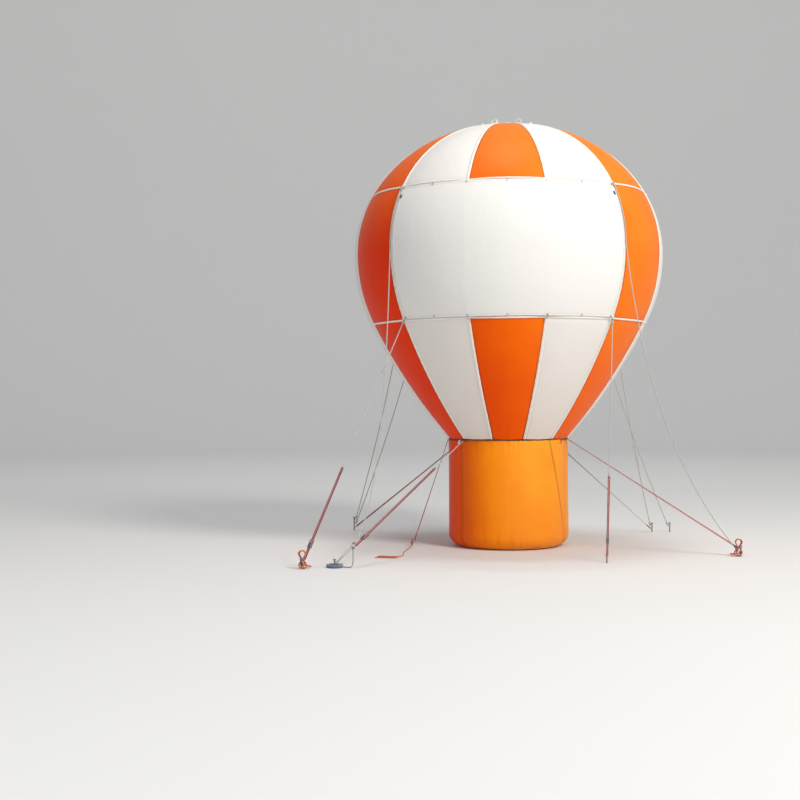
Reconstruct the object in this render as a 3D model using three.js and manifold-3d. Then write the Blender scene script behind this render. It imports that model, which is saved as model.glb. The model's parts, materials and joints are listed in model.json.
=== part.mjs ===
// Cold-air advertising balloon on its inflated base, with its banners, stays, stakes and blower.
// Units are millimetres, +Z is up, the front of the balloon looks along -Y and the ground is z = 0.
// Angles around the balloon start at the front (-Y) and grow towards the right (+X).
import * as THREE from 'three';
import { mergeVertices } from 'three/addons/utils/BufferGeometryUtils.js';
import Module from 'manifold-3d';

const wasm = await Module();
wasm.setup();

// Driving dimensions of the envelope
const HEIGHT = 6100;
const EQUATOR_Z = 4200;
const EQUATOR_R = 2227;
const UPPER_SEAM_Z = 5029;
const LOWER_SEAM_Z = 3200;
const BULGE_RADIUS = 2220; // side arc from the equator down to the lower seam
const CROWN_POWER = 2.01; // power of the superellipse above the equator
const NECK_Z = 1562;
const NECK_R = 872;
const CROWN_R = 380; // radius of the round patch on top
const WALL = 10;
const GORES = 12;
const LOBE = 20; // how far a seam lies below the middle of its gore, at the equator
const SEAT = 0.3; // gap between touching pieces

// Seam tapes and banners
const TAPE_WIDTH = 36;
const TAPE_THICK = 6;
const TAPE_SEAT = 0.9;
const BANNER_HALF_ANGLE = 44.2;
const BANNER_INSET = 22; // banner edge to the ring seams
const BANNER_THICK = 6;
const BANNER_SEAT = 0.5;

// Inflated base
const BASE_R = 867;
const BASE_TOP_Z = NECK_Z - WALL;
const BASE_FOOT_ARC = 190;
const BASE_HEAD_ARC = 40;
const BASE_HEAD_R = 820; // inner edge of the base's top rim
const FLOOR_R = 640;
const NECK_BAND_R = NECK_R - 7;

// Crown loops
const LOOPS = 6;
const LOOP_RING_R = 345;
const LOOP_SPAN = 90;
const LOOP_HEIGHT = 75;
const LOOP_WIDTH = 25;
const LOOP_THICK = 5;

// Stays and stakes
const ROPE_R = 8;
const STRAP_THICK = 5;
const BUCKLE = { width: 34, thick: 20, length: 44 }; // where a rope is tied to its strap
const RATCHET = { thick: 34, length: 120, fromEye: 220 };
const HEAD_R = 11; // head of a lug on the tapes, and of an eye on a stake, which faces along its stay
const HEAD_REACH = 14; // from the head's centre to its face
const LUG_STUB_R = 8;
const LUG_STAND_OFF = 22; // head centre above the seam
const STAKE_R = 10;
const STAKE_EYE_OFF = 34;

// Spare rope at the stakes
const CORD_R = 7;
const HANK = { width: 120, depth: 60, height: 250, front: 30, corner: 22 }; // front: gap to the stake's axis
const COIL = { innerR: 56, outerR: 112, height: 44, sides: 24 };
const LIE = 0.5; // lowest point of spare rope above the ground
const KNOB_R = 9;
const KNOB_REACH = 30; // from the stake's axis to the face that a spare rope leaves

// Blower behind the base, fan axis along X, outlet towards the base
const FAN = { y: 1480, z: 235, scrollR: 195, halfWidth: 100, skin: 5 };
const DUCT = { frontY: 1240, lowZ: 240, highZ: 430 };
const NOZZLE = { z: 335, outerR: 122, skin: 4, frontY: 1150 };
const SLEEVE = { innerR: 122.5, outerR: 128.5, backY: 1220 };
const INLET_R = 95;
const IMPELLER = { r: 128, halfWidth: 62, blades: 18, hubR: 22, shaftR: 8 };
const MOTOR = { r: 68, length: 165, bossR: 30 };

const D2R = Math.PI / 180;

const ORANGE = new THREE.Color(0xe8641c);
const WHITE = new THREE.Color(0xf0ede6);
const cloth = (color) => new THREE.MeshStandardMaterial({ color, roughness: 0.45, metalness: 0 });
const plastic = (color) => new THREE.MeshStandardMaterial({ color, roughness: 0.5, metalness: 0 });
const steel = (color) => new THREE.MeshStandardMaterial({ color, roughness: 0.4, metalness: 0.9 });

const balloon = new THREE.Group();

// Adds a named mesh to the balloon and returns it.
function add(name, geometry, material) {
  const mesh = new THREE.Mesh(geometry, material);
  mesh.name = name;
  balloon.add(mesh);
  return mesh;
}

// A geometry as a solid that can be joined and cut.
function solidOf(geometry) {
  const bare = geometry.clone();
  bare.deleteAttribute('normal');
  bare.deleteAttribute('uv');
  const merged = mergeVertices(bare, 1e-4);
  return new wasm.Manifold(new wasm.Mesh({
    numProp: 3,
    vertProperties: new Float32Array(merged.attributes.position.array),
    triVerts: new Uint32Array(merged.index.array),
  }));
}

// The geometry of a joined or cut solid.
function geometryOf(solid) {
  const mesh = solid.getMesh();
  const geometry = new THREE.BufferGeometry();
  geometry.setAttribute('position', new THREE.BufferAttribute(new Float32Array(mesh.vertProperties), 3));
  geometry.setIndex(new THREE.BufferAttribute(new Uint32Array(mesh.triVerts), 1));
  geometry.computeVertexNormals();
  return geometry;
}

function joined(geometries) {
  return geometries.map(solidOf).reduce((whole, piece) => whole.add(piece));
}

// A point at radius r, angle in degrees from the front, and height z.
function polar(r, angle, z) {
  return new THREE.Vector3(r * Math.sin(angle * D2R), -r * Math.cos(angle * D2R), z);
}

// Profile of the envelope: radius, height and outward direction at each station, from neck to crown.
const bulgeEnd = Math.asin((EQUATOR_Z - LOWER_SEAM_Z) / BULGE_RADIUS);
const lowerSeamR = EQUATOR_R - BULGE_RADIUS * (1 - Math.cos(bulgeEnd));
const taperMean = Math.atan2(lowerSeamR - NECK_R, LOWER_SEAM_Z - NECK_Z);
const taperEnd = 2 * taperMean - bulgeEnd;
const taperRadius = (LOWER_SEAM_Z - NECK_Z) / (Math.sin(taperEnd) - Math.sin(bulgeEnd));

function taperPoint(slope) {
  return {
    r: lowerSeamR - taperRadius * (Math.cos(bulgeEnd) - Math.cos(slope)),
    z: LOWER_SEAM_Z - taperRadius * (Math.sin(slope) - Math.sin(bulgeEnd)),
    nr: Math.cos(slope),
    nz: -Math.sin(slope),
  };
}

function bulgePoint(slope) {
  return {
    r: EQUATOR_R - BULGE_RADIUS * (1 - Math.cos(slope)),
    z: EQUATOR_Z - BULGE_RADIUS * Math.sin(slope),
    nr: Math.cos(slope),
    nz: -Math.sin(slope),
  };
}

// Above the equator the profile is a superellipse, so both coordinates are powers of sine and cosine.
function domePoint(z) {
  const rise = HEIGHT - EQUATOR_Z;
  const up = (z - EQUATOR_Z) / rise;
  const r = EQUATOR_R * Math.pow(1 - Math.pow(up, CROWN_POWER), 1 / CROWN_POWER);
  const gr = Math.pow(r / EQUATOR_R, CROWN_POWER - 1) / EQUATOR_R;
  const gz = Math.pow(up, CROWN_POWER - 1) / rise;
  const size = Math.hypot(gr, gz);
  return { r, z, nr: gr / size, nz: gz / size };
}

function domeHeightAt(r) {
  return EQUATOR_Z + (HEIGHT - EQUATOR_Z) * Math.pow(1 - Math.pow(r / EQUATOR_R, CROWN_POWER), 1 / CROWN_POWER);
}

function steps(from, to, count) {
  return Array.from({ length: count }, (unused, i) => from + (to - from) * i / count);
}

const bannerFootSlope = Math.asin((EQUATOR_Z - LOWER_SEAM_Z - BANNER_INSET) / BULGE_RADIUS);
const stations = [
  ...steps(taperEnd, bulgeEnd, 4).map(taperPoint),
  bulgePoint(bulgeEnd),
  ...steps(bannerFootSlope, 0, 3).map(bulgePoint),
  ...steps(EQUATOR_Z, UPPER_SEAM_Z - BANNER_INSET, 3).map(domePoint),
  domePoint(UPPER_SEAM_Z - BANNER_INSET),
  domePoint(UPPER_SEAM_Z),
  ...[1720, 1380, 1020, 680, CROWN_R].map((r) => domePoint(domeHeightAt(r))),
];
const lowerSeam = 4; // index of the station on each ring seam and at the equator
const equator = 8;
const bannerTop = 11;
const upperSeam = 12;

// A point on a station: offset along the outward direction, lowered in the valley between gores.
function onStation(station, offset, angle, valley) {
  const out = offset - valley * LOBE * station.r / EQUATOR_R;
  return polar(station.r + out * station.nr, angle, station.z + out * station.nz);
}

// Closed sheet between an outer and an inner grid of points, rows going up and columns going round.
function sheetBetween(outer, inner, closedRing = false) {
  const rows = outer.length;
  const cols = outer[0].length;
  const positions = [];
  for (const grid of [outer, inner]) {
    for (const row of grid) {
      for (const p of row) positions.push(p.x, p.y, p.z);
    }
  }
  const index = [];
  const at = (side, i, j) => side * rows * cols + i * cols + (j % cols);
  const quad = (a, b, c, d) => index.push(a, b, c, a, c, d);
  const spans = closedRing ? cols : cols - 1;
  for (let j = 0; j < spans; j += 1) {
    for (let i = 0; i < rows - 1; i += 1) {
      quad(at(0, i, j), at(0, i, j + 1), at(0, i + 1, j + 1), at(0, i + 1, j));
      quad(at(1, i, j + 1), at(1, i, j), at(1, i + 1, j), at(1, i + 1, j + 1));
    }
    const top = rows - 1;
    quad(at(0, 0, j + 1), at(0, 0, j), at(1, 0, j), at(1, 0, j + 1));
    quad(at(0, top, j), at(0, top, j + 1), at(1, top, j + 1), at(1, top, j));
  }
  for (let i = 0; i < rows - 1 && !closedRing; i += 1) {
    const last = cols - 1;
    quad(at(0, i, 0), at(0, i + 1, 0), at(1, i + 1, 0), at(1, i, 0));
    quad(at(0, i + 1, last), at(0, i, last), at(1, i, last), at(1, i + 1, last));
  }
  const geometry = new THREE.BufferGeometry();
  geometry.setAttribute('position', new THREE.Float32BufferAttribute(positions, 3));
  geometry.setIndex(index);
  geometry.computeVertexNormals();
  return geometry;
}

// One gore: a lobed strip of the envelope, WALL thick, its edges SEAT/2 from the seam planes.
function goreGeometry() {
  const half = 180 / GORES;
  const columns = [-1, -0.5, 0, 0.5, 1];
  const neckEnd = (offset) => ({ r: NECK_R + offset * 1.2, z: NECK_Z, nr: 0, nz: 0 });
  const crownEnd = { ...stations[stations.length - 1], nr: 0, nz: 1 };
  const shaped = (offset) => [neckEnd(offset), ...stations.slice(1, -1), crownEnd];
  const grid = (offset) => shaped(offset).map((station) => columns.map((c) => {
    const p = onStation(station, offset, c * half, c * c);
    if (Math.abs(c) === 1) p.addScaledVector(polar(1, c * half + 90, 0), -c * SEAT / 2);
    return p;
  }));
  return sheetBetween(grid(0), grid(-WALL));
}

function makeGores() {
  const geometry = goreGeometry();
  for (let i = 0; i < GORES; i += 1) {
    const name = `gore_${String(i + 1).padStart(2, '0')}`;
    const mesh = add(name, geometry, cloth(i % 2 === 0 ? ORANGE : WHITE));
    mesh.rotation.z = i * 2 * Math.PI / GORES;
  }
}

// Round patch on the crown with a ring of webbing loops.
function makeCrown() {
  const edge = CROWN_R - 2 * SEAT;
  const rings = [edge, edge * 0.6, 0];
  const top = rings.map((r) => new THREE.Vector2(r, domeHeightAt(r)));
  const under = rings.map((r) => new THREE.Vector2(r, domeHeightAt(r) - WALL)).reverse();
  const patch = new THREE.LatheGeometry([...under, ...top], 4 * GORES);
  patch.rotateX(Math.PI / 2);
  const pieces = [patch];
  const outline = new THREE.Shape();
  const outerR = LOOP_SPAN / 2;
  outline.moveTo(-outerR, -5);
  outline.lineTo(-outerR + LOOP_THICK, -5);
  outline.lineTo(-outerR + LOOP_THICK, LOOP_HEIGHT - outerR);
  outline.absarc(0, LOOP_HEIGHT - outerR, outerR - LOOP_THICK, Math.PI, 0, true);
  outline.lineTo(outerR - LOOP_THICK, -5);
  outline.lineTo(outerR, -5);
  outline.lineTo(outerR, LOOP_HEIGHT - outerR);
  outline.absarc(0, LOOP_HEIGHT - outerR, outerR, 0, Math.PI, false);
  for (let i = 0; i < LOOPS; i += 1) {
    const loop = new THREE.ExtrudeGeometry(outline, {
      depth: LOOP_WIDTH,
      bevelEnabled: false,
      curveSegments: 4,
    });
    loop.translate(0, 0, -LOOP_WIDTH / 2);
    loop.rotateX(Math.PI / 2);
    const angle = (i + 0.5) * 360 / LOOPS;
    loop.rotateZ(angle * D2R);
    const foot = polar(LOOP_RING_R - LOOP_WIDTH / 2, angle, domeHeightAt(LOOP_RING_R));
    loop.translate(foot.x, foot.y, foot.z);
    pieces.push(loop);
  }
  add('crown_patch', geometryOf(joined(pieces)), cloth(WHITE));
}

// Stays. Columns: name, ring, angle of the lug, anchor, height of the anchor's eye, share of the run that is
// rope, width of the strap, downward pull on the rope.
const STAYS = [
  ['stay_upper_front_left', 'upper', -45, 'sling_front_left', 315, 1, 0, 2650],
  ['stay_upper_front_right', 'upper', 45, 'stake_right', 60, 1, 0, 1890],
  ['stay_upper_back_right', 'upper', 135, 'stake_back_right_inner', 110, 1, 0, 800],
  ['stay_upper_back_left', 'upper', -135, 'stake_back_left', 190, 1, 0, 800],
  ['stay_lower_front_left', 'lower', -45, 'stake_front_left', 95, 0.63, 50, 0],
  ['stay_lower_front_right', 'lower', 45, 'stake_front_right', 70, 0.67, 30, 0],
  ['stay_lower_back_right', 'lower', 135, 'stake_back_right', 110, 1, 0, 255],
  ['stay_lower_back_left', 'lower', -135, 'stake_back_left', 120, 1, 0, 255],
  ['stay_neck_front_left', 'neck', -45, 'sling_front_left', 270, 0.28, 50, 0],
  ['stay_neck_left', 'neck', -75, 'stake_left', 70, 0, 30, 0],
  ['stay_neck_right', 'neck', 75, 'stake_right', 105, 0, 30, 0],
  ['stay_neck_back_right', 'neck', 135, 'stake_back_right_inner', 60, 0, 30, 0],
  ['stay_neck_back_left', 'neck', -135, 'stake_back_left', 60, 0, 30, 0],
];

// Stakes. Columns: place to the right, place to the back, height above the ground.
const STAKES = {
  stake_front_left: [-2610, -2795, 130],
  stake_front_left_inner: [-2205, -2690, 110],
  stake_left: [-1397, -223, 110],
  stake_front_right: [1267, -2077, 105],
  stake_right: [3118, -1246, 140],
  stake_back_right: [2550, 1900, 150],
  stake_back_right_inner: [2271, 1893, 150],
  stake_back_left: [-2500, 2000, 225],
};

// The sling holds the ends of two front stays on a pin and is itself tied to a stake.
const SLING = {
  name: 'sling_front_left',
  x: -1961,
  y: -2750,
  low: 250,
  high: 330,
  width: 50,
  stake: 'stake_front_left_inner',
  eye: 70,
};
const PULL_SHARE = { upper: 0.2, lower: 0.5, neck: 0.5 }; // how far along the run its pull acts
const ANCHORS = { ...STAKES, [SLING.name]: [SLING.x, SLING.y, SLING.high] };

// Spare ropes. Columns: name, what it leaves, way that it leaves, then the points of its route from the foot
// of its stake: to the right, to the back, up. The first point is the face that it leaves.
const SPARE_ROPES = [
  ['tail_front_left', 'stake_front_left', [1, 0, 0], [
    [30.3, 0, 40], [60, 0, 40], [85, 0, 38], [114, -12, 36], [126.5, -41.5, 34], [114, -71, 32], [88, -83, 30],
    [75.3, -83, 30],
  ]],
  ['tail_front_left_inner', 'stake_front_left_inner', null, [
    [244, -60, 249.7], [244, -60, 200], [244, -60, 140], [243, -59, 90], [238, -55, 48], [222, -44, 19],
    [198, -27, 9], [170, -10, 7.5], [140, 0, 7.5], [111.4, 0, 7.5],
  ]],
  ['tail_left', 'stake_left', [0, -1, 0], [
    [0, -30.3, 30], [0, -60, 30], [-1, -100, 20], [-4, -150, 9], [-10, -220, 7.5], [-22, -360, 7.5],
    [-38, -540, 7.5], [-50, -740, 7.5], [-52, -930, 7.5], [-42, -1090, 7.5], [-36, -1200, 7.5],
    [-52, -1290, 7.5], [-110, -1335, 7.5], [-200, -1325, 7.5], [-290, -1290, 7.5], [-352, -1300, 7.5],
    [-366, -1355, 7.5], [-310, -1392, 7.5], [-215, -1380, 7.5], [-130, -1390, 7.5], [-96, -1440, 7.5],
    [-140, -1485, 7.5], [-235, -1475, 7.5], [-330, -1450, 7.5], [-395, -1470, 7.5],
  ]],
  ['tail_right', 'stake_right', [-1, 0, 0], [
    [-30.3, 0, 34], [-60, 0, 34], [-110, 0, 33], [-139, -12, 33], [-151.5, -41.5, 32], [-139, -71, 31],
    [-113, -83, 30], [-100.3, -83, 30],
  ]],
];

// Hanks of spare rope. Columns: name, stake, place of the middle to the right of the stake.
const HANKS = [
  ['hank_front_left', 'stake_front_left', 15],
  ['hank_right', 'stake_right', -40],
];

// Rings that carry lugs: the station, whether lugs stand in a valley, and the depths of root and head.
const neckSlope = 27 * D2R; // the neck's lugs point down by this much, clear of the envelope
const neckStation = { r: NECK_BAND_R - 5, z: NECK_Z - 5, nr: Math.cos(neckSlope), nz: -Math.sin(neckSlope) };
const RINGS = {
  upper: { station: stations[upperSeam], valley: 1, root: TAPE_THICK / 2, head: LUG_STAND_OFF, stub: LUG_STUB_R },
  lower: { station: stations[lowerSeam], valley: 1, root: TAPE_THICK / 2, head: LUG_STAND_OFF, stub: LUG_STUB_R },
  neck: { station: neckStation, valley: 0, root: -5, head: 2 * LUG_STAND_OFF, stub: LUG_STUB_R / 2 },
};

// Where a stay starts: the centre of its lug's round head.
function lugHead([, ring, angle]) {
  const { station, valley, head } = RINGS[ring];
  return onStation(station, head, angle, valley);
}

// Centre of an eye that stands off a stake or pin at a height, on the side that its stay comes from.
function eyeCentre([x, y], height, from) {
  const towards = from.clone().sub(new THREE.Vector3(x, y, 0)).setZ(0).normalize();
  return new THREE.Vector3(x, y, height).addScaledVector(towards, STAKE_EYE_OFF);
}

// Round bar between two points.
function bar(from, to, radius, sides = 8) {
  const along = to.clone().sub(from);
  const geometry = new THREE.CylinderGeometry(radius, radius, along.length(), sides);
  const turn = new THREE.Quaternion().setFromUnitVectors(new THREE.Vector3(0, 1, 0), along.clone().normalize());
  geometry.applyQuaternion(turn);
  const middle = from.clone().add(to).multiplyScalar(0.5);
  geometry.translate(middle.x, middle.y, middle.z);
  return geometry;
}

// Run of a stay: its lug's head and its eye with the way that each faces, the points where it lies on the
// envelope if it starts above the equator, the point that pulls its free stretch down into its sag, and the
// tie where rope and strap meet.
function stayRun(stay) {
  const [, ring, angle, anchor, eyeHeight, share, , sag] = stay;
  const head = lugHead(stay);
  const eye = eyeCentre(ANCHORS[anchor], eyeHeight, head);
  const above = ring === 'upper' ? [upperSeam, upperSeam - 2, upperSeam - 3, equator] : [];
  const lying = above.map((i) => onStation(stations[i], LUG_STAND_OFF, angle, 1));
  const leave = lying.length ? lying[lying.length - 1] : head;
  const pull = leave.clone().lerp(eye, PULL_SHARE[ring]);
  pull.z -= sag;
  const headWay = (lying.length ? lying[1] : pull).clone().sub(head).normalize();
  const eyeWay = pull.clone().sub(eye).normalize();
  const start = head.clone().addScaledVector(headWay, HEAD_REACH + SEAT);
  const stop = eye.clone().addScaledVector(eyeWay, HEAD_REACH + SEAT);
  const tie = start.clone().lerp(stop, share);
  return { head, headWay, eye, eyeWay, lying, pull, start, stop, tie };
}

function headBar(centre, way) {
  return bar(
    centre.clone().addScaledVector(way, -HEAD_REACH / 2),
    centre.clone().addScaledVector(way, HEAD_REACH),
    HEAD_R,
  );
}

// Lug of a stay: a stub standing on the seam, and a head that faces along the stay.
function lugPieces(stay) {
  const [, ring, angle] = stay;
  const { station, valley, root: depth, stub } = RINGS[ring];
  const root = onStation(station, depth, angle, valley);
  const { head, headWay } = stayRun(stay);
  return [bar(root, head, stub), headBar(head, headWay)];
}

// Cage of tapes over the seams: one down each valley and one round each ring seam, lugs included.
function makeSeamTapes() {
  const pieces = [];
  const halfAngle = 180 / GORES;
  for (let i = 0; i < GORES; i += 1) {
    const angle = (2 * i + 1) * halfAngle;
    const side = polar(1, angle + 90, 0);
    const grid = (offset) => stations.slice(1).map((station) => [-1, 1].map((s) => (
      onStation(station, offset, angle, 1).addScaledVector(side, s * TAPE_WIDTH / 2))));
    pieces.push(sheetBetween(grid(TAPE_SEAT + TAPE_THICK), grid(TAPE_SEAT)));
  }
  for (const station of [stations[lowerSeam], stations[upperSeam]]) {
    const grid = (offset) => [-1, 1].map((s) => {
      const lift = s * TAPE_WIDTH / 2;
      const edge = { ...station, r: station.r - lift * station.nz, z: station.z + lift * station.nr };
      return steps(0, 4 * GORES, 4 * GORES).map((k) => {
        const c = ((k + 2) % 4) / 2 - 1;
        return onStation(edge, offset, k * halfAngle / 2, c * c);
      });
    });
    pieces.push(sheetBetween(grid(TAPE_SEAT + TAPE_THICK), grid(TAPE_SEAT), true));
  }
  for (const stay of STAYS.filter(([, ring]) => ring !== 'neck')) pieces.push(...lugPieces(stay));
  add('seam_tapes', geometryOf(joined(pieces)), cloth(WHITE));
}

// Blank banner sheets over three gores, front and back.
function makeBanners() {
  const inner = steps(-37.5, 45, 11);
  const columns = [-BANNER_HALF_ANGLE, ...inner, BANNER_HALF_ANGLE];
  const rows = stations.slice(lowerSeam + 1, bannerTop + 1);
  const grid = (offset) => rows.map((station) => columns.map((angle) => onStation(station, offset, angle, 0)));
  const geometry = sheetBetween(grid(BANNER_SEAT + BANNER_THICK), grid(BANNER_SEAT));
  add('banner_front', geometry, cloth(WHITE));
  add('banner_back', geometry, cloth(WHITE)).rotation.z = Math.PI;
}

function latheZ(points, segments) {
  const geometry = new THREE.LatheGeometry(points, segments);
  geometry.rotateX(Math.PI / 2);
  return geometry;
}

function arcPoints(cx, cz, radius, from, to, count) {
  return Array.from({ length: count + 1 }, (unused, i) => {
    const a = (from + (to - from) * i / count) * D2R;
    return new THREE.Vector2(cx + radius * Math.cos(a), cz + radius * Math.sin(a));
  });
}

// Base: a hollow drum with rounded foot and head, an inlet hole at the back and a flat floor.
function makeBase() {
  const footX = BASE_R - BASE_FOOT_ARC;
  const headX = BASE_R - BASE_HEAD_ARC;
  const headZ = BASE_TOP_Z - BASE_HEAD_ARC;
  const outline = [
    new THREE.Vector2(FLOOR_R, 0),
    ...arcPoints(footX, BASE_FOOT_ARC, BASE_FOOT_ARC, -90, 0, 4),
    ...arcPoints(headX, headZ, BASE_HEAD_ARC, 0, 90, 2),
    new THREE.Vector2(BASE_HEAD_R, BASE_TOP_Z),
    new THREE.Vector2(BASE_HEAD_R, BASE_TOP_Z - WALL),
    ...arcPoints(headX, headZ, BASE_HEAD_ARC - WALL, 90, 0, 2),
    ...arcPoints(footX, BASE_FOOT_ARC, BASE_FOOT_ARC - WALL, 0, -90, 4),
    new THREE.Vector2(FLOOR_R, WALL),
    new THREE.Vector2(FLOOR_R, 0),
  ];
  const inlet = bar(new THREE.Vector3(0, 500, NOZZLE.z), new THREE.Vector3(0, 1100, NOZZLE.z), SLEEVE.innerR, 24);
  const drum = solidOf(latheZ(outline, 36)).subtract(solidOf(inlet));
  add('base_wall', geometryOf(drum), cloth(ORANGE));
  const disc = [[0, 0], [FLOOR_R - SEAT, 0], [FLOOR_R - SEAT, WALL], [0, WALL]];
  add('base_floor', latheZ(disc.map(([r, z]) => new THREE.Vector2(r, z)), 36), cloth(ORANGE));
}

// Band in the crease between base and envelope, with the lugs of the neck stays.
function makeNeckBand() {
  const low = BASE_TOP_Z + SEAT;
  const high = NECK_Z - SEAT;
  const ring = latheZ([
    new THREE.Vector2(BASE_HEAD_R, low),
    new THREE.Vector2(NECK_BAND_R, low),
    new THREE.Vector2(NECK_BAND_R, high),
    new THREE.Vector2(BASE_HEAD_R, high),
    new THREE.Vector2(BASE_HEAD_R, low),
  ], 48);
  const lugs = STAYS.filter(([, place]) => place === 'neck').flatMap(lugPieces);
  add('neck_band', geometryOf(joined([ring, ...lugs])), cloth(new THREE.Color(0x5a2a18)));
}

// Path of a rope: over the envelope if it starts above the equator, then its free stretch down to its end.
function ropePath(stay) {
  const { lying, pull, start, stop, tie } = stayRun(stay);
  const path = new THREE.CurvePath();
  if (stay[5] < 1) path.add(new THREE.LineCurve3(start, tie));
  else {
    if (lying.length) path.add(new THREE.CatmullRomCurve3([start, ...lying.slice(1)]));
    path.add(new THREE.QuadraticBezierCurve3(lying.length ? lying[lying.length - 1] : start, pull, stop));
  }
  return path;
}

function makeRope(stay) {
  const [name, ring, , , , share] = stay;
  const section = new THREE.Shape().absarc(0, 0, ROPE_R, 0, 2 * Math.PI, false);
  const bends = ring === 'upper' ? 24 : 10;
  const geometry = new THREE.ExtrudeGeometry(section, {
    steps: share < 1 ? 1 : bends,
    curveSegments: 3,
    bevelEnabled: false,
    extrudePath: ropePath(stay),
  });
  add(name, geometry, cloth(new THREE.Color(0xb9b6ad)));
}

// Flat strap from its tie to its eye, with a buckle where a rope is tied on and a ratchet on a wide strap.
function makeStrap(stay) {
  const [name, , , , , share, width] = stay;
  const { start, stop, tie } = stayRun(stay);
  const way = stop.clone().sub(start).normalize();
  const from = share > 0 ? tie.clone().addScaledVector(way, SEAT) : start;
  const length = from.distanceTo(stop);
  const pieces = [new THREE.BoxGeometry(width, STRAP_THICK, length)];
  if (share > 0) {
    const buckle = new THREE.BoxGeometry(BUCKLE.width, BUCKLE.thick, BUCKLE.length);
    const ratchet = new THREE.BoxGeometry(width * 1.25, RATCHET.thick, RATCHET.length);
    buckle.translate(0, 0, (BUCKLE.length - length) / 2);
    ratchet.translate(0, 0, length / 2 - RATCHET.fromEye);
    pieces.push(buckle, ratchet);
  }
  const mesh = add(
    share > 0 ? name.replace('stay', 'strap') : name,
    geometryOf(joined(pieces)),
    cloth(new THREE.Color(0xb0302c)),
  );
  mesh.position.copy(from).add(stop).multiplyScalar(0.5);
  mesh.up.set(0, 0, 1);
  mesh.lookAt(stop);
}

function makeStays() {
  for (const stay of STAYS) {
    if (stay[5] > 0) makeRope(stay);
    if (stay[5] < 1) makeStrap(stay);
  }
}

// The sling's run: from its pin to its eye on the stake.
function slingRun() {
  const head = new THREE.Vector3(SLING.x, SLING.y, (SLING.low + SLING.high) / 2);
  const eye = eyeCentre(STAKES[SLING.stake], SLING.eye, head);
  const eyeWay = head.clone().sub(eye).normalize();
  return { head, eye, eyeWay, stop: eye.clone().addScaledVector(eyeWay, HEAD_REACH + SEAT) };
}

// Eyes that stand off a stake or pin, one for each stay tied to it.
function eyePieces(anchor, runs) {
  const [x, y] = ANCHORS[anchor];
  return runs.flatMap(({ eye, eyeWay }) => [
    headBar(eye, eyeWay),
    bar(new THREE.Vector3(x, y, eye.z), eye, LUG_STUB_R),
  ]);
}

function makeSling() {
  const { head, stop } = slingRun();
  const strap = new THREE.BoxGeometry(SLING.width, STRAP_THICK, head.distanceTo(stop));
  strap.applyMatrix4(new THREE.Matrix4().lookAt(head, stop, new THREE.Vector3(0, 0, 1)));
  const middle = head.clone().add(stop).multiplyScalar(0.5);
  strap.translate(middle.x, middle.y, middle.z);
  const pin = bar(head.clone().setZ(SLING.low), head.clone().setZ(SLING.high), STAKE_R, 12);
  const runs = STAYS.filter(([, , , anchor]) => anchor === SLING.name).map(stayRun);
  const pieces = [strap, pin, ...eyePieces(SLING.name, runs)];
  add(SLING.name, geometryOf(joined(pieces)), cloth(new THREE.Color(0xc9c6c0)));
}

// Stakes: the part above the ground, with an eye for each stay and a knob for each spare rope.
function makeStakes() {
  for (const [name, [x, y, height]] of Object.entries(STAKES)) {
    const top = new THREE.Vector3(x, y, height);
    const pieces = [
      bar(new THREE.Vector3(x, y, 0), top, STAKE_R, 12),
      bar(new THREE.Vector3(x, y, height - 12), top, STAKE_R * 2, 12),
    ];
    const runs = STAYS.filter(([, , , anchor]) => anchor === name).map(stayRun);
    if (SLING.stake === name) runs.push(slingRun());
    pieces.push(...eyePieces(name, runs));
    for (const [, , way, route] of SPARE_ROPES.filter(([, stake, out]) => stake === name && out)) {
      const root = new THREE.Vector3(x, y, route[0][2]);
      pieces.push(bar(root, root.clone().addScaledVector(new THREE.Vector3(...way), KNOB_REACH), KNOB_R));
    }
    add(name, geometryOf(joined(pieces)), steel(new THREE.Color(0x7c7a78)));
  }
}

// Spare ropes at the stakes: their loose stretches, two hanks and a coil.
function makeSpareRopes() {
  for (const [name, stake, , route] of SPARE_ROPES) {
    const [x, y] = STAKES[stake];
    const path = new THREE.CatmullRomCurve3(route.map(([dx, dy, z]) => new THREE.Vector3(x + dx, y + dy, z)));
    const section = new THREE.Shape().absarc(0, 0, CORD_R, 0, 2 * Math.PI, false);
    const tube = new THREE.ExtrudeGeometry(section, {
      steps: Math.round(path.getLength() / (5 * CORD_R)),
      curveSegments: 4,
      bevelEnabled: false,
      extrudePath: path,
    });
    add(name, tube, cloth(ORANGE));
  }
  const half = HANK.width / 2;
  const { corner } = HANK;
  for (const [name, stake, offset] of HANKS) {
    const outline = new THREE.Shape();
    outline.absarc(half - corner, LIE + corner, corner, -Math.PI / 2, 0, false);
    outline.absarc(0, HANK.height - half, half, 0, Math.PI, false);
    outline.absarc(corner - half, LIE + corner, corner, Math.PI, 1.5 * Math.PI, false);
    const hank = new THREE.ExtrudeGeometry(outline, {
      depth: HANK.depth,
      bevelEnabled: false,
      curveSegments: 4,
    });
    hank.rotateX(Math.PI / 2);
    const mesh = add(name, hank, cloth(ORANGE));
    mesh.position.set(STAKES[stake][0] + offset, STAKES[stake][1] - HANK.front, 0);
  }
  const top = LIE + COIL.height;
  const { innerR, outerR } = COIL;
  const ring = [[innerR, LIE], [outerR, LIE], [outerR, top], [innerR, top], [innerR, LIE]];
  const coil = latheZ(ring.map(([r, z]) => new THREE.Vector2(r, z)), COIL.sides);
  const mesh = add('coil_front_left_inner', coil, cloth(new THREE.Color(0x6f7d96)));
  mesh.rotation.z = Math.PI / COIL.sides;
  mesh.position.set(STAKES[SLING.stake][0], STAKES[SLING.stake][1], 0);
}

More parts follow.
